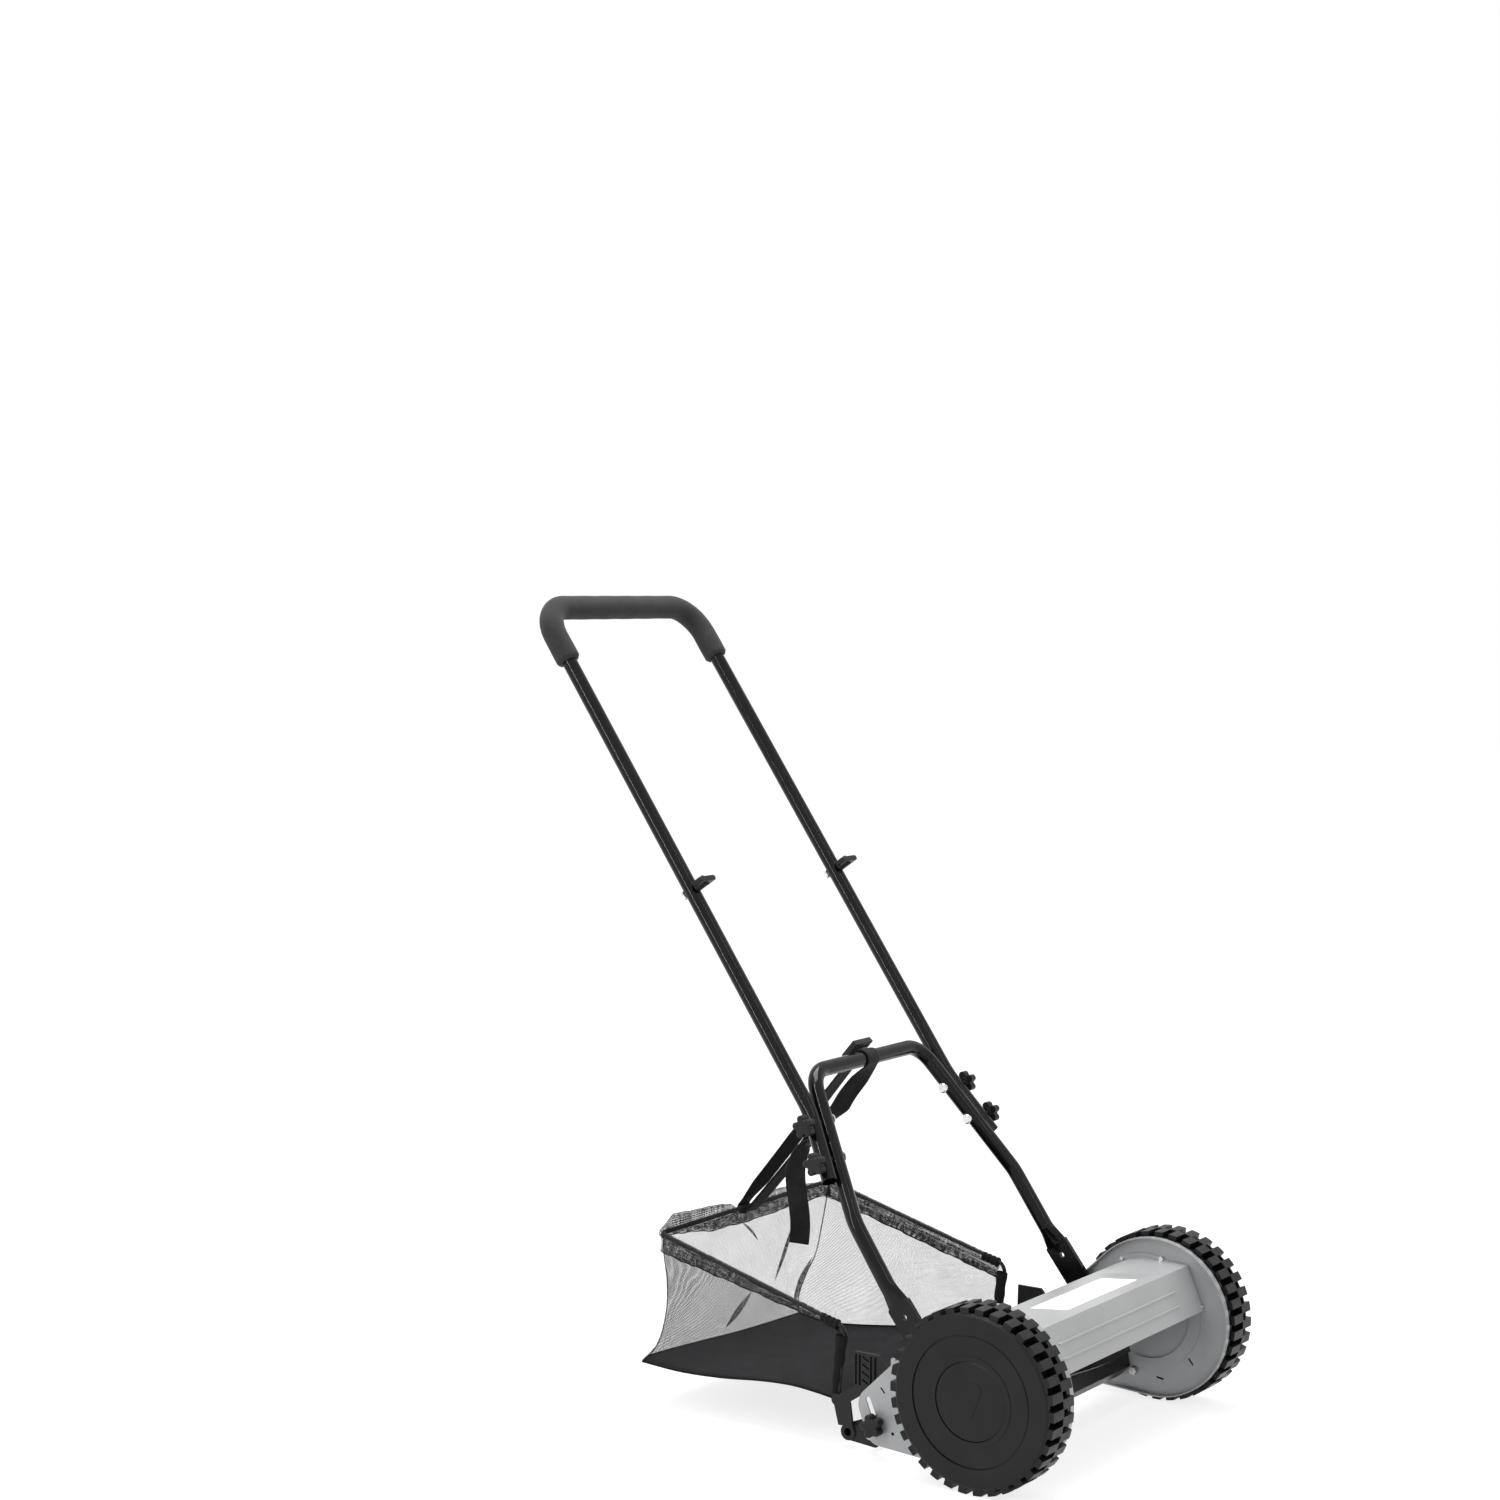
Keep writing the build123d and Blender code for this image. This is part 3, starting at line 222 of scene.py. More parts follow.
def grid_normals(grid):
    du = np.gradient(grid, axis=1)
    dv = np.gradient(grid, axis=0)
    normal = np.cross(du, dv)
    return normal / (np.linalg.norm(normal, axis=2)[..., None] + 1e-12)


def soft_noise(grid, scale, seed):
    flat = grid.reshape(-1, 3)
    shift = Vector((seed * 7.1, seed * 3.3, seed * 5.7))
    values = [noise.noise(Vector(p) * scale + shift) for p in flat]
    return np.array(values).reshape(grid.shape[:2])


# ---------------------------------------------------------------- material helpers
NOISE_ROUGHNESS = 0.55


class Look:
    """A node material with one Principled shader, built up by its methods."""

    def __init__(self, name, roughness=0.5, metallic=0.0, **sockets):
        self.material = bpy.data.materials.new(name)
        self.material.use_nodes = True
        self.tree = self.material.node_tree
        self.shader = self.tree.nodes["Principled BSDF"]
        self.shader.inputs["Roughness"].default_value = roughness
        self.shader.inputs["Metallic"].default_value = metallic
        for socket, value in sockets.items():
            self.shader.inputs[socket.replace("_", " ")].default_value = value
        place = self.add("ShaderNodeTexCoord")
        self.position = place.outputs["Object"]
        self.metres = place.outputs["UV"]

    def add(self, kind, **settings):
        node = self.tree.nodes.new(kind)
        for key, value in settings.items():
            setattr(node, key, value)
        return node

    def join(self, source, socket):
        self.tree.links.new(source, socket)

    def scaled(self, vector, scale):
        node = self.add("ShaderNodeMapping")
        node.inputs["Scale"].default_value = scale
        self.join(vector, node.inputs["Vector"])
        return node.outputs["Vector"]

    def noise(self, scale, detail=3.0, vector=None):
        node = self.add("ShaderNodeTexNoise")
        node.inputs["Scale"].default_value = scale
        node.inputs["Detail"].default_value = detail
        node.inputs["Roughness"].default_value = NOISE_ROUGHNESS
        self.join(vector or self.position, node.inputs["Vector"])
        return node.outputs["Fac"]

    def cells(self, scale):
        node = self.add("ShaderNodeTexVoronoi", feature="F1")
        node.inputs["Scale"].default_value = scale
        self.join(self.position, node.inputs["Vector"])
        return node.outputs["Distance"]

    def math(self, operation, a, b=None):
        node = self.add("ShaderNodeMath", operation=operation)
        for socket, value in zip(node.inputs, (a, b)):
            if value is None:
                continue
            if isinstance(value, (int, float)):
                socket.default_value = value
            else:
                self.join(value, socket)
        return node.outputs["Value"]

    def spread(self, value, low, high, to_low, to_high):
        node = self.add("ShaderNodeMapRange")
        for socket, number in zip(list(node.inputs)[1:5], (low, high, to_low, to_high)):
            socket.default_value = number
        self.join(value, node.inputs["Value"])
        return node.outputs["Result"]

    def colour(self, value, *stops):
        """Base colour from a value; stops are (position, (r, g, b))."""
        node = self.add("ShaderNodeValToRGB")
        ramp = node.color_ramp
        while len(ramp.elements) < len(stops):
            ramp.elements.new(0.5)
        for element, (place, rgb) in zip(ramp.elements, stops):
            element.position = place
            element.color = (*rgb, 1)
        self.join(value, node.inputs["Fac"])
        self.join(node.outputs["Color"], self.shader.inputs["Base Color"])
        return self

    def rough(self, value, low, high, to_low, to_high):
        self.join(self.spread(value, low, high, to_low, to_high), self.shader.inputs["Roughness"])
        return self

    def bump(self, height, distance, strength=1.0):
        node = self.add("ShaderNodeBump")
        node.inputs["Strength"].default_value = strength
        node.inputs["Distance"].default_value = distance
        self.join(height, node.inputs["Height"])
        self.join(node.outputs["Normal"], self.shader.inputs["Normal"])
        return self

    def alpha(self, value):
        self.join(value, self.shader.inputs["Alpha"])
        return self


# ---------------------------------------------------------------- materials
def painted_sheet(name, low, high, metallic, roughness):
    """Silver powder coat: fine flake and slight orange peel."""
    look = Look(name, roughness, metallic, Coat_Weight=0.25, Coat_Roughness=0.25)
    flake = look.noise(2600, 2.0)
    cloud = look.noise(16, 3.0)
    tone = look.math("ADD", look.math("MULTIPLY", flake, 0.35), look.math("MULTIPLY", cloud, 0.65))
    look.colour(tone, (0.3, low), (0.7, high))
    look.rough(cloud, 0.3, 0.7, roughness - 0.05, roughness + 0.07)
    return look.bump(look.noise(700, 2.0), 0.00004).material


def moulded(name, dark, light, roughness, grain=900, depth=0.00005):
    """Moulded black plastic with a fine spark-eroded grain and faint flow marks."""
    look = Look(name, roughness, Specular_IOR_Level=0.22)
    look.colour(look.noise(22, 4.0), (0.3, dark), (0.72, light))
    look.rough(look.noise(60, 3.0), 0.3, 0.7, roughness - 0.06, roughness + 0.08)
    return look.bump(look.noise(grain, 3.0), depth).material


def glossy_paint(name, dark, light, roughness, peel=0.00002):
    look = Look(name, roughness, Specular_IOR_Level=0.22)
    look.colour(look.noise(30, 3.0), (0.3, dark), (0.7, light))
    look.rough(look.noise(90, 3.0), 0.3, 0.7, roughness - 0.03, roughness + 0.05)
    return look.bump(look.noise(260, 2.0), peel).material


def bare_metal(name, low, high, roughness, scale=(40, 400, 400)):
    look = Look(name, roughness, 1.0)
    streaks = look.noise(1.0, 3.0, vector=look.scaled(look.position, scale))
    look.colour(streaks, (0.3, low), (0.7, high))
    look.rough(streaks, 0.3, 0.7, roughness - 0.06, roughness + 0.1)
    return look.bump(streaks, 0.00002).material


def foam():
    look = Look("look_grip_foam", 0.92, Specular_IOR_Level=0.2, Sheen_Weight=0.06, Sheen_Roughness=0.6)
    pores = look.cells(1500)
    patches = look.noise(45, 3.0)
    # Painted shade: the colour is darker in the pore pits, where the bump sinks; the patches are random tone.
    tone = look.math("ADD", look.math("MULTIPLY", pores, 0.5), look.math("MULTIPLY", patches, 0.5))
    look.colour(tone, (0.2, (0.007, 0.007, 0.0075)), (0.7, (0.026, 0.026, 0.028)))
    return look.bump(look.math("ADD", pores, look.noise(420, 4.0)), 0.00030, 0.8).material


def web_of_threads(look, pitch, share):
    """1 on the threads of a square net laid over the piece's UV map, 0 in its holes."""
    split = look.add("ShaderNodeSeparateXYZ")
    look.join(look.metres, split.inputs["Vector"])
    masks = []
    for axis in ("X", "Y"):
        turn = look.math("FRACT", look.math("MULTIPLY", split.outputs[axis], 1 / pitch))
        masks.append(look.math("LESS_THAN", turn, share))
    return look.math("MAXIMUM", *masks)


def netting(name, share, change, tint, stretch):
    """Black net whose threads bunch up and spread a little, in patches drawn out by stretch."""
    look = Look(name, 0.6, Specular_IOR_Level=0.2)
    look.colour(look.noise(35, 3.0), (0.3, tuple(0.7 * c for c in tint)), (0.7, tint))
    patches = look.noise(1.0, 3.0, vector=look.scaled(look.metres, stretch))
    bunched = look.spread(patches, 0.36, 0.64, share - change, share + change)
    look.alpha(web_of_threads(look, MESH_PITCH, bunched))
    return look.material


def canvas(name, dark, light, pitch=0.0007):
    """Plain-woven polyester with slight creasing, and painted shade between the threads."""
    look = Look(name, 0.85, Specular_IOR_Level=0.10, Sheen_Weight=0.03, Sheen_Roughness=0.5)
    weave = look.scaled(look.metres, (1 / pitch, 1 / pitch, 1))
    split = look.add("ShaderNodeSeparateXYZ")
    look.join(weave, split.inputs["Vector"])
    over = look.math("SINE", look.math("MULTIPLY", split.outputs["X"], 2 * math.pi))
    under = look.math("SINE", look.math("MULTIPLY", split.outputs["Y"], 2 * math.pi))
    threads = look.math("MULTIPLY", over, under)
    cloud = look.noise(28, 4.0)
    # Painted shade: the colour is darker between the threads, where the weave's bump is low; the cloud is random
    # tone.
    tone = look.math("ADD", look.math("MULTIPLY", threads, 0.12), cloud)
    look.colour(tone, (0.3, dark), (0.72, light))
    folds = look.math("MULTIPLY", look.noise(75, 3.0), 5.0)
    return look.bump(look.math("ADD", threads, folds), 0.00018, 0.7).material


def webbing():
    """Black polypropylene webbing: ribs along the strap and a fine cross rib, with painted shade in the troughs
    between the ribs.
    """
    look = Look("look_webbing", 0.7, Specular_IOR_Level=0.2, Sheen_Weight=0.04, Sheen_Roughness=0.4)
    split = look.add("ShaderNodeSeparateXYZ")
    look.join(look.metres, split.inputs["Vector"])
    across = look.math("SINE", look.math("MULTIPLY", split.outputs["X"], 2 * math.pi / 0.0021))
    lengthways = look.math("SINE", look.math("MULTIPLY", split.outputs["Y"], 2 * math.pi / 0.0011))
    ribs = look.math("ADD", across, look.math("MULTIPLY", lengthways, 0.6))
    # Painted shade: the colour is darker in the rib troughs, where the bump is low; the noise is random tone.
    tone = look.math("ADD", look.math("MULTIPLY", ribs, 0.1), look.noise(60, 3.0))
    look.colour(tone, (0.3, (0.003, 0.003, 0.0035)), (0.7, (0.010, 0.010, 0.011)))
    return look.bump(ribs, 0.00015, 0.6).material


def vinyl():
    look = Look("look_label", 0.35, Coat_Weight=0.4, Coat_Roughness=0.15)
    look.colour(look.noise(50, 2.0), (0.3, (0.80, 0.80, 0.80)), (0.7, (0.88, 0.88, 0.87)))
    return look.bump(look.noise(300, 2.0), 0.00002).material


PLATE = painted_sheet("look_plate", (0.235, 0.244, 0.252), (0.29, 0.30, 0.309), 0.30, 0.44)
COVER = painted_sheet("look_cover", (0.27, 0.275, 0.278), (0.325, 0.328, 0.331), 0.30, 0.42)
TUBE = glossy_paint("look_tube", (0.0014, 0.0014, 0.0016), (0.0030, 0.0030, 0.0033), 0.12, 0.00001)
CARRIER = glossy_paint("look_carrier", (0.0014, 0.0014, 0.0018), (0.004, 0.004, 0.0045), 0.38)
BLADE = glossy_paint("look_blade", (0.006, 0.006, 0.007), (0.012, 0.012, 0.013), 0.36)
STEEL = bare_metal("look_steel", (0.34, 0.35, 0.36), (0.55, 0.56, 0.57), 0.34)
BOLT = bare_metal("look_bolt", (0.62, 0.63, 0.64), (0.82, 0.82, 0.83), 0.24)
BRONZE = bare_metal("look_bronze", (0.28, 0.17, 0.08), (0.42, 0.27, 0.13), 0.38)
TYRE = moulded("look_tyre", (0.0022, 0.0022, 0.0025), (0.0055, 0.0055, 0.006), 0.40, 700, 0.00005)
CAP = moulded("look_cap", (0.0022, 0.0022, 0.0025), (0.0055, 0.0055, 0.006), 0.33, 900, 0.00002)
BRACKET = moulded("look_bracket", (0.005, 0.005, 0.0055), (0.010, 0.010, 0.011), 0.40)
KNOB = moulded("look_knob", (0.005, 0.005, 0.0055), (0.011, 0.011, 0.012), 0.42, 1100)
ROLLER = moulded("look_roller", (0.006, 0.006, 0.007), (0.013, 0.013, 0.014), 0.5)
BUCKLE = moulded("look_buckle", (0.006, 0.006, 0.007), (0.013, 0.013, 0.014), 0.36)
FOAM = foam()
WIRE = glossy_paint("look_wire", (0.003, 0.003, 0.0035), (0.007, 0.007, 0.0075), 0.20)
NET = netting("look_net", MESH_THREAD, 0.020, (0.020, 0.020, 0.022), (14, 14, 1))
HEM_NET = netting("look_hem_net", HEM_THREAD, 0.16, (0.014, 0.014, 0.016), (70, 210, 1))
CANVAS = canvas("look_canvas", (0.0050, 0.0049, 0.0060), (0.0130, 0.0127, 0.0150))
TAPE = canvas("look_tape", (0.004, 0.004, 0.0045), (0.009, 0.009, 0.010), 0.0011)
WEB = webbing()
LABEL = vinyl()

SLOT_LOOKS = {
    "plate_grey": PLATE, "cover_silver": COVER, "black_paint": TUBE, "carrier_black": CARRIER,
    "blade_black": BLADE, "steel": STEEL, "bright_bolt": BOLT, "wheel_plastic": TYRE,
    "cap_plastic": CAP, "bracket_plastic": BRACKET, "knob_plastic": KNOB, "roller_plastic": ROLLER,
    "grip_foam": FOAM, "bush_bronze": BRONZE, "catcher_wire": WIRE, "catcher_mesh": NET,
    "catcher_cloth": CANVAS, "webbing": WEB, "buckle_plastic": BUCKLE,
}

# Softened edges on the CAD nodes: (width in metres, nodes)
EDGE_WIDTHS = (
    (0.0009, ("wheel_left", "wheel_right")),
    (0.0005, ("strap_buckle", "strap_slider", "catcher_bracket_left", "catcher_bracket_right",
              "roller_arm_left", "roller_arm_right", "hub_cap_left", "hub_cap_right")),
    (0.0007, ("height_knob_left", "height_knob_right", "joint_knob_left", "joint_knob_right",
              "clamp_knob_upper_left", "clamp_knob_upper_right", "clamp_knob_lower_left",
              "clamp_knob_lower_right")),
    (0.0004, ("side_plate_left", "side_plate_right", "knife_carrier", "lower_tube")),
)


def dress_cad_nodes():
    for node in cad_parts.values():
        for place, material in enumerate(node.data.materials):
            node.data.materials[place] = SLOT_LOOKS[material.name.split(".")[0]]
    for width, names in EDGE_WIDTHS:
        for name in names:
            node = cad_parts[name]
            weld = node.modifiers.new("joined", "WELD")
            weld.merge_threshold = 0.00001
            bevel = node.modifiers.new("soft_edges", "BEVEL")
            bevel.width = width
            bevel.segments = 2
            bevel.limit_method = "ANGLE"
            bevel.angle_limit = math.radians(35)
            node.modifiers.new("shading", "WEIGHTED_NORMAL").keep_sharp = False


dress_cad_nodes()


# ---------------------------------------------------------------- grass catcher
SEAM_IN = RIM_CORNER * 0.29      # how far the middle of the rim's rear bend lies inside its corner
BEND_FROM = 0.97                 # fraction of the rim's side where that bend is taken to begin


def rim_point(side, t):
    """Point on the rim wire, t from 0 at the front bend to 1 at the rear corner."""
    (y0, z0), (y1, z1) = RIM_FRONT, RIM_REAR
    turn = max(0.0, (t - BEND_FROM) / 0.03) ** 2 * SEAM_IN
    return at(side * (RIM_X - turn), y0 + t * (y1 - y0) - turn, z0 + t * (z1 - z0))


def floor_edge(side, points):
    """Lower edge of a side panel, from the front hook to the rear corner."""
    return smooth_through([at(*p) for p in FLOOR_EDGES[side]], points)


def rear_edge(points):
    return smooth_through([at(*p) for p in REAR_EDGE], points)


def corner_seam(side, points):
    """Rear seam between a side panel and the rear panel, from the rim down to the floor."""
    low = NEAR_REAR if side < 0 else FAR_REAR
    return smooth_through([rim_point(side, 1.0), *[at(*p) for p in REAR_SEAMS[side]], at(*low)], points)


def front_edge(side, points):
    start = rim_point(side, 0.0) + (0, 0.004, -0.004)
    return blend_curve(start, at(*FLOOR_EDGES[side][0]), (0, 0.002, 0), points)


def panel(edges, slack, seeds, toward):
    """Grid of a hanging panel between (top, bottom, left, right), bellied out along toward."""
    grid = coons(*edges)
    rows, columns = grid.shape[:2]
    u, v = np.meshgrid(np.linspace(0, 1, columns), np.linspace(0, 1, rows))
    hold = np.sin(math.pi * v) * np.sin(math.pi * u) ** 0.6
    waves = 0.5 * slack * soft_noise(grid, 10, seeds[0]) + 0.0022 * soft_noise(grid, 36, seeds[1])
    sag = hold * (slack + waves)
    normal = grid_normals(grid)
    inward = np.sign((normal * np.array(toward)).sum(2, keepdims=True))
    return grid + normal * inward * sag[..., None]


def side_grid(side):
    columns, rows = 130, 70
    top = np.array([rim_point(side, t) for t in np.linspace(0, 1, columns)])
    edges = (top, floor_edge(side, columns), front_edge(side, rows), corner_seam(side, rows))
    return panel(edges, 0.007, (1, 3) if side < 0 else (2, 3), (-side, 0, 0))


def rear_grid():
    columns, rows = 150, 70
    left, right = corner_seam(-1, rows), corner_seam(1, rows)
    reach = RIM_X - SEAM_IN
    top = np.array([at(reach * k, RIM_REAR[0] - SEAM_IN * abs(k) ** 12, RIM_REAR[1])
                    for k in np.linspace(-1, 1, columns)])
    return panel((top, rear_edge(columns), left, right), 0.012, (4, 5), (0, -1, 0))


def floor_grid():
    columns, rows = 120, 120
    near, far = floor_edge(-1, columns), floor_edge(1, columns)
    front = blend_curve(near[0], far[0], (0, 0, -0.0015), rows)
    grid = coons(near, far, front, rear_edge(rows))
    u, v = np.meshgrid(np.linspace(0, 1, columns), np.linspace(0, 1, rows))
    hold = np.sin(math.pi * v) ** 0.7 * np.sin(math.pi * u) ** 0.8
    grid[..., 2] += hold * (0.004 * soft_noise(grid, 8, 6) + 0.0012 * soft_noise(grid, 30, 7) - 0.006)
    return grid


def hem_outline(drop, loop, rise):
    """Flat teardrop round the wire: a loop of netting over it and a double layer below."""
    return [(0.0004, -drop), (0.0010, -0.55 * drop), (loop, -0.002), (loop * 0.8, min(0.0028, 0.7 * rise)),
            (0.0006, rise), (-0.0006, rise), (-loop * 0.8, min(0.0028, 0.7 * rise)), (-loop, -0.002),
            (-0.0010, -0.55 * drop), (-0.0004, -drop)]


def crumple(t, seed):
    """Small uneven wave along a hem, about 1 mm high."""
    return 0.0007 * math.sin(37 * t + seed) + 0.0004 * math.sin(91 * t + 2 * seed)


def rim_run(side, start, end, points=150):
    return np.array([rim_point(side, t) for t in np.linspace(start, end, points)])


# Hems run from HEM_START to HEM_END of the rim, and loop round its wire
HEM_START, HEM_END = 0.03, 0.992
LOOP_R = 0.0036
THREAD = round_outline(0.0008, 8)
PIPING = round_outline(0.0015, 8)
SEAM = round_outline(0.0020, 8, 0.4)


def side_drop(side, t):
    """Depth of a side hem below the wire; the near one is narrow at the front."""
    if side < 0:
        return 0.0075 + 0.0155 * t ** 1.3 + crumple(t, 1)
    return 0.0215 + crumple(t, 2)


# Rear hem, as (place across from -1 to 1, height) below and above the wire
REAR_DROPS = ((-1.0, 0.004), (-0.75, 0.006), (-0.36, 0.0175), (0.08, 0.0195), (0.50, 0.017), (1.0, 0.018))
REAR_RISES = ((-1.0, 0.003), (-0.95, 0.008), (-0.85, 0.019), (-0.30, 0.013), (-0.20, 0.0095), (-0.15, 0.003),
              (0.15, 0.003), (0.20, 0.009), (0.26, 0.0115), (0.52, 0.0105), (0.84, 0.003), (1.0, 0.003))


def read_off(pairs, place):
    return float(np.interp(place, [p for p, _ in pairs], [h for _, h in pairs]))


def rear_hem(t):
    place = 2 * t - 1
    drop = read_off(REAR_DROPS, place) + crumple(t, 3)
    return hem_outline(drop, LOOP_R, read_off(REAR_RISES, place) + crumple(t, 4) / 2)


def moved_down(run, drop):
    """The run lowered by drop(t) at the fraction t of its points."""
    drops = [drop(k) for k in np.linspace(0, 1, len(run))]
    return run - np.array([(0, 0, d) for d in drops])


def sleeve_outline(t):
    radius = 0.0078 - 0.0020 * t + 0.0005 * math.sin(19 * t)
    return [(0.62 * a, b + 0.0045) for a, b in round_outline(radius, 20)]


def sleeve_top_outline(t):
    radius = 0.0050 - 0.0008 * t + 0.0004 * math.sin(23 * t)
    return [(a, 1.25 * b - 0.0016) for a, b in round_outline(radius, 18)]


def add_pleat(name, grid, places, width):
    """A pinched fold of netting lying on a panel, through (u, v) places of its grid."""
    rows, columns = grid.shape[:2]
    points = [grid[int(v * (rows - 1)), int(u * (columns - 1))] for u, v in places]
    path = smooth_through(points, 40)
    u, v = places[len(places) // 2]
    normal = grid_normals(grid)[int(v * (rows - 1)), int(u * (columns - 1))]

    def outline(t):
        spread = width * max(0.04, math.sin(math.pi * t)) ** 0.8
        return [(a * spread, 0.25 * b * spread) for a, b in round_outline(1.0, 14)]
    fold = sweep(name, path, outline, up=tuple(normal), capped=False)
    return finish_piece(fold, HEM_NET, "catcher")


def add_side(side, label, grid):
    """Netting of one side with its hem, seams and the sleeve round the front upright."""
    near = finish_piece(sheet_mesh(f"bag_side_{label}", grid), NET, "catcher")
    run = rim_run(side, HEM_START, HEM_END)
    hem = sweep(f"bag_hem_{label}", run, lambda t: hem_outline(side_drop(side, t), LOOP_R, LOOP_R),
                capped=False)
    stitch = sweep(f"bag_stitch_{label}", moved_down(run, lambda t: side_drop(side, t)), lambda t: THREAD)
    edge = sweep(f"bag_edge_{label}", floor_edge(side, 120), lambda t: PIPING)
    upright = np.array([at(side * RIM_X, 0.2075 + 0.0075 * k, 0.131 - 0.069 * k)
                        for k in np.linspace(0, 1, 40)])
    sleeve = sweep(f"bag_sleeve_{label}", upright, sleeve_outline, up=(0, 1, 0), capped=False)
    bulk = sweep(f"bag_hem_end_{label}", rim_run(side, 0.035, 0.12, 30), sleeve_top_outline, capped=False)
    corner = sweep(f"bag_corner_{label}", corner_seam(side, 60), lambda t: SEAM, up=(0.6, -0.8, 0))
    trims = [finish_piece(hem, HEM_NET, "catcher"),
             finish_piece(corner, HEM_NET, "catcher")]
    trims += [finish_piece(piece, TAPE, "catcher") for piece in (stitch, edge, sleeve, bulk)]
    return near, trims


def add_catcher():
    grids = {side: side_grid(side) for side in (-1, 1)}
    back = rear_grid()
    near, near_trims = add_side(-1, "near", grids[-1])
    far, far_trims = add_side(1, "far", grids[1])
    rear = finish_piece(sheet_mesh("bag_rear", back), NET, "catcher")
    floor = finish_piece(sheet_mesh("bag_floor", floor_grid()), CANVAS, "catcher")
    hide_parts("catcher_side_right")
    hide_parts("catcher_side_left")
    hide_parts("catcher_rear")
    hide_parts("catcher_floor")

    corners = [rim_point(-1, 0.985), at(-RIM_X, *RIM_REAR), at(RIM_X, *RIM_REAR), rim_point(1, 0.985)]
    run = smooth_path(corners, [RIM_CORNER * 0.4, RIM_CORNER * 0.4])
    hem = sweep("bag_hem_rear", run, rear_hem, capped=False)
    stitch = sweep("bag_stitch_rear", moved_down(run, lambda t: read_off(REAR_DROPS, 2 * t - 1) + crumple(t, 3)),
                   lambda t: THREAD)
    edge = sweep("bag_edge_rear", rear_edge(120), lambda t: PIPING)
    rear_trims = [finish_piece(hem, HEM_NET, "catcher"),
                  finish_piece(stitch, TAPE, "catcher"),
                  finish_piece(edge, TAPE, "catcher"),
                  add_pleat("bag_pleat_rear_1", back, ((0.78, 0.20), (0.72, 0.40), (0.68, 0.60)), 0.0042),
                  add_pleat("bag_pleat_rear_2", back, ((0.46, 0.11), (0.51, 0.18), (0.55, 0.27)), 0.0022),
                  add_pleat("bag_pleat_rear_3", back, ((0.97, 0.55), (0.97, 0.75), (0.96, 0.92)), 0.0085)]
    near_trims.append(add_pleat("bag_pleat_near", grids[-1], ((0.50, 0.12), (0.58, 0.32), (0.66, 0.55)), 0.0036))


add_catcher()


# ---------------------------------------------------------------- carrying strap
BAND_POINTS, BAR_POINTS, WIRE_POINTS = 60, 25, 17
TAIL_TURN = math.radians(55)
# Half outline of the webbing, as fractions of its width and thickness, with thickened selvedges
WEB_FACE = ((-0.5, -0.5), (-0.42, -0.62), (-0.2, -0.5), (0.2, -0.5), (0.42, -0.62), (0.5, -0.5))


def strap_path():
    """Middle line of the belt: round the crossbar, down the front, round the wire, up the back."""
    top, low = np.array(BAR), np.array(RIM_REAR)
    run = (low - top) / np.linalg.norm(low - top)
    front = np.array((run[1], -run[0]))
    points = []
    for angle in np.linspace(math.pi, 0, BAR_POINTS):
        points.append(top + BAR_LOOP_R * (front * math.cos(angle) - run * math.sin(angle)))
    for t in np.linspace(0, 1, BAND_POINTS + 1)[1:-1]:
        points.append(top + (low - top) * t + front * (BAR_LOOP_R + (WIRE_LOOP_R - BAR_LOOP_R) * t))
    for angle in np.linspace(0, math.pi, WIRE_POINTS):
        points.append(low + WIRE_LOOP_R * (run * math.sin(angle) + front * math.cos(angle)))
    for t in np.linspace(1, 0, BAND_POINTS + 1)[1:-1]:
        points.append(top + (low - top) * t - front * (BAR_LOOP_R + (WIRE_LOOP_R - BAR_LOOP_R) * t))
    return np.array([at(0, *p) for p in points])


def strap_mesh(name, path, twist, shift, closed=False):
    """Flat webbing along a path; twist(t) turns it about the path and shift(t) moves it sideways."""
    path = np.asarray(path)
    along = np.roll(path, -1, 0) - np.roll(path, 1, 0) if closed else np.gradient(path, axis=0)
    along /= np.linalg.norm(along, axis=1)[:, None]
    section = [*WEB_FACE, *[(-a, -b) for a, b in WEB_FACE]]
    rows = []
    for i, (point, heading) in enumerate(zip(path, along)):
        t = i / (len(path) - 1)
        wide = np.array((1.0, 0, 0))
        wide -= heading * (wide @ heading)
        wide /= np.linalg.norm(wide)
        wide = np.array(Matrix.Rotation(twist(t), 3, Vector(heading)) @ Vector(wide))
        thick = np.cross(heading, wide)
        centre = point + shift(t)
        rows.append([centre + wide * a * STRAP_W + thick * b * STRAP_T for a, b in section])
    if closed:
        rows.append(rows[0])
    return sheet_mesh(name, rows, wrap=True, capped=not closed)


# Twist of the belt in degrees at fractions of its length: front band, wire loop, then back band
BELT_TWISTS = ((0.0, 0), (0.15, 0), (0.19, 30), (0.25, 36), (0.285, 12), (0.31, 24), (0.37, 8), (0.50, 6),
               (0.54, 0), (0.64, 0), (0.68, -16), (0.80, -18), (0.88, -6), (0.97, -3), (1.0, 0))


def belt_twist(t):
    return math.radians(read_off(BELT_TWISTS, t))


def belt_shift(t):
    """The slack front band is crumpled a little below the crossbar."""
    slack = math.exp(-((t - 0.27) / 0.045) ** 2)
    ripple = math.sin(95 * t) * math.exp(-((t - 0.27) / 0.03) ** 2)
    return np.array((0.0012 * math.sin(6 * math.pi * t), -0.003 * slack + 0.0016 * ripple, -0.002 * slack))


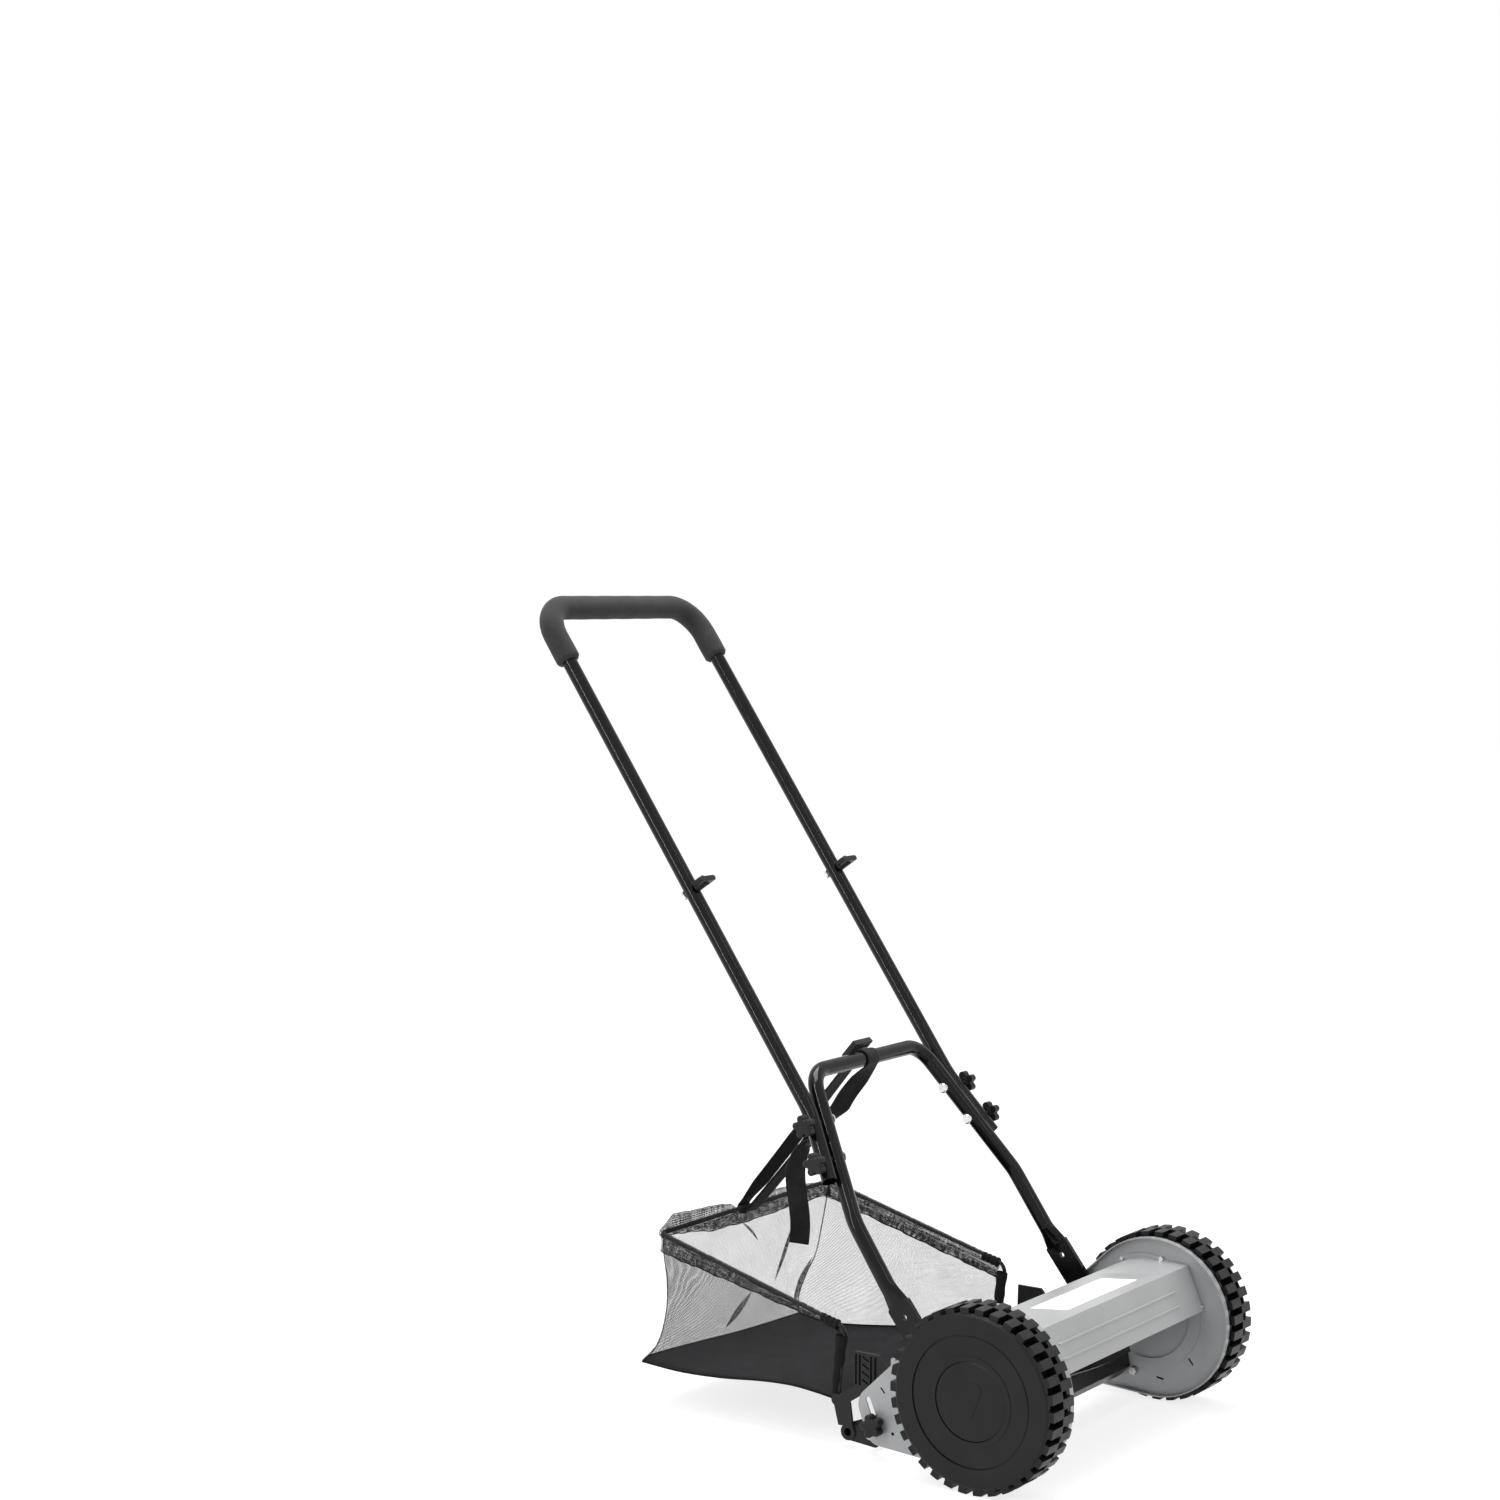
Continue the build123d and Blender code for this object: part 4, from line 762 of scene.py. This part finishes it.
def add_strap():
    path = strap_path()
    belt = strap_mesh("strap_belt", path, belt_twist, belt_shift, closed=True)
    finish_piece(belt, WEB, "strap")
    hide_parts("strap_loop")

    low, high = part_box("strap_tail")
    middle = (low + high) / 2
    slider_low, slider_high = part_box("strap_slider")
    slider = np.array((slider_low + slider_high) / 2)
    t = np.linspace(0, 1, 50)
    fall = np.array([(middle.x - 0.0015 * math.sin(5 * k), middle.y + 0.003 * math.sin(6 * k),
                      high.z - k * (high.z - low.z)) for k in t])
    ease = np.clip(1 - t * 4, 0, 1)[:, None] ** 2
    fall = fall * (1 - ease) + (slider + (-0.006, 0.002, -0.004)) * ease
    tail = strap_mesh("strap_tail_end", fall, lambda k: TAIL_TURN * min(1, 3 * k) + 0.1 * math.sin(7 * k),
                      lambda k: np.zeros(3))
    finish_piece(tail, WEB, "strap")
    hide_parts("strap_tail")


add_strap()


# ---------------------------------------------------------------- foam grip
def add_grip():
    drop = np.array((0, JOINT[0] - GRIP[0], JOINT[1] - GRIP[1]))
    drop /= np.linalg.norm(drop)
    corner = {side: at(side * GRIP_HALF, *GRIP) for side in (-1, 1)}
    path = smooth_path([corner[-1] + drop * FOAM_DOWN, corner[-1], corner[1], corner[1] + drop * FOAM_DOWN],
                       [GRIP_BEND, GRIP_BEND], 0.003)
    reach = 0.002 / FOAM_DOWN

    def outline(t):
        end = min(t, 1 - t)
        round_off = math.sqrt(max(0.0, 1 - max(0.0, 1 - end / (reach * 0.35)) ** 2))
        radius = FOAM_R - 0.0022 * (1 - round_off) + 0.00012 * math.sin(61 * t)
        return round_outline(radius, 40)
    grip = sweep("grip_sleeve", path, outline, up=(0, 0.82, -0.57))
    finish_piece(grip, FOAM, "handle")
    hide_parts("grip_foam")


add_grip()


# ---------------------------------------------------------------- blank labels
FILM = 0.0002


def flat_label(name, corners, lift, body):
    """Thin blank label between four corners, lifted off the surface and with rounded ends."""
    a, b, c, d = (np.array(p, float) for p in corners)
    normal = np.cross(b - a, d - a)
    normal /= np.linalg.norm(normal)
    rows = []
    for v in np.linspace(0, 1, 14):
        row = []
        for u in np.linspace(0, 1, 40):
            inset = 0.03 * max(0, abs(2 * v - 1) - 0.8) * (1 if u < 0.5 else -1) * (abs(2 * u - 1) > 0.95)
            point = (1 - v) * ((1 - u) * a + u * b) + v * ((1 - u) * d + u * c)
            row.append(point + (b - a) * inset + normal * lift)
        rows.append(row)
    label = sheet_mesh(name, rows)
    thick = label.modifiers.new("film", "SOLIDIFY")
    thick.thickness = FILM
    return finish_piece(label, LABEL, body)


COVER_FRONT, COVER_REAR = (-0.044, 0.176), (0.052, 0.165)    # edges of the flat top of the cover
COVER_SLOPE = (COVER_REAR[1] - COVER_FRONT[1]) / (COVER_REAR[0] - COVER_FRONT[0])
PLATE_X = -0.2003        # outer face of the near side plate


def cover_top(x, y):
    return at(x, y, COVER_FRONT[1] + COVER_SLOPE * (y - COVER_FRONT[0]))


flat_label("label_cover", [cover_top(-0.070, -0.023), cover_top(0.105, -0.023), cover_top(0.105, 0.027),
                           cover_top(-0.070, 0.027)], 0.0003, "frame")
flat_label("label_plate", [at(PLATE_X, 0.1397, 0.0515), at(PLATE_X, 0.1262, 0.0530), at(PLATE_X, 0.1262, 0.0625),
                           at(PLATE_X, 0.1397, 0.0610)], -0.0003, "frame")


# ---------------------------------------------------------------- stage, light and camera
def plain(name, colour, roughness, glow):
    """Matt white surface, lit a little from within like a light table so that shadows stay soft."""
    look = Look(name, roughness, Specular_IOR_Level=0.1, Emission_Color=(1, 1, 1, 1), Emission_Strength=glow)
    tone = tuple(c * 0.985 for c in colour)
    look.colour(look.noise(3, 2.0), (0.3, tone), (0.7, colour))
    return look.material


STAGE_REACH = 14.0


def add_stage():
    mesh = bpy.data.meshes.new("stage_floor")
    corners = [(x * STAGE_REACH, y * STAGE_REACH, 0) for x, y in ((-1, -1), (1, -1), (1, 1), (-1, 1))]
    mesh.from_pydata(corners, [], [(0, 1, 2, 3)])
    floor = bpy.data.objects.new("stage_floor", mesh)
    bpy.context.scene.collection.objects.link(floor)
    mesh.materials.append(plain("look_stage", (0.26, 0.26, 0.26), 0.75, 0.78))


def add_light(name, place, target, size, radiance):
    """Rectangular softbox of the given radiance, turned towards target."""
    lamp = bpy.data.lights.new(name, "AREA")
    lamp.shape = "RECTANGLE"
    lamp.size, lamp.size_y = size
    lamp.energy = radiance * math.pi * size[0] * size[1]
    light = bpy.data.objects.new(name, lamp)
    light.location = place
    light.rotation_mode = "QUATERNION"
    light.rotation_quaternion = (Vector(target) - Vector(place)).to_track_quat("-Z", "Y")
    bpy.context.scene.collection.objects.link(light)


def add_world():
    world = bpy.data.worlds.new("studio")
    world.use_nodes = True
    back = world.node_tree.nodes["Background"]
    back.inputs["Color"].default_value = (1, 1, 1, 1)
    back.inputs["Strength"].default_value = 1.0
    bpy.context.scene.world = world
    bpy.context.scene.view_settings.view_transform = "Standard"


# Camera of the photograph: place, direction of view, direction of the picture's right side, focal length
EYE = Vector((-2.86266, -1.843515, 1.00688))
AHEAD = Vector((0.81538753, 0.57584337, -0.05956168))
RIGHTWARD = Vector((0.57712799, -0.81663501, 0.00552555))
LENS = 66.657


def add_camera():
    data = bpy.data.cameras.new("camera")
    data.lens = LENS
    data.sensor_width = 36.0
    data.clip_end = 60.0
    camera = bpy.data.objects.new("camera", data)
    over = RIGHTWARD.cross(AHEAD)
    turn = Matrix((RIGHTWARD, over, -AHEAD)).transposed()
    camera.matrix_world = Matrix.Translation(EYE) @ turn.to_4x4()
    bpy.context.scene.collection.objects.link(camera)
    bpy.context.scene.camera = camera


add_stage()
add_light("left_strip", (-2.9, 0.77, 2.2), (0, 0, 0.4), (0.08, 4.2), 55.0)
add_light("right_strip", (-0.25, -2.9, 2.6), (0, 0, 0.4), (0.08, 2.5), 20.0)
add_light("top_softbox", (0.2, 0.3, 3.0), (0, 0, 0.2), (1.8, 1.8), 9.0)
add_world()
add_camera()
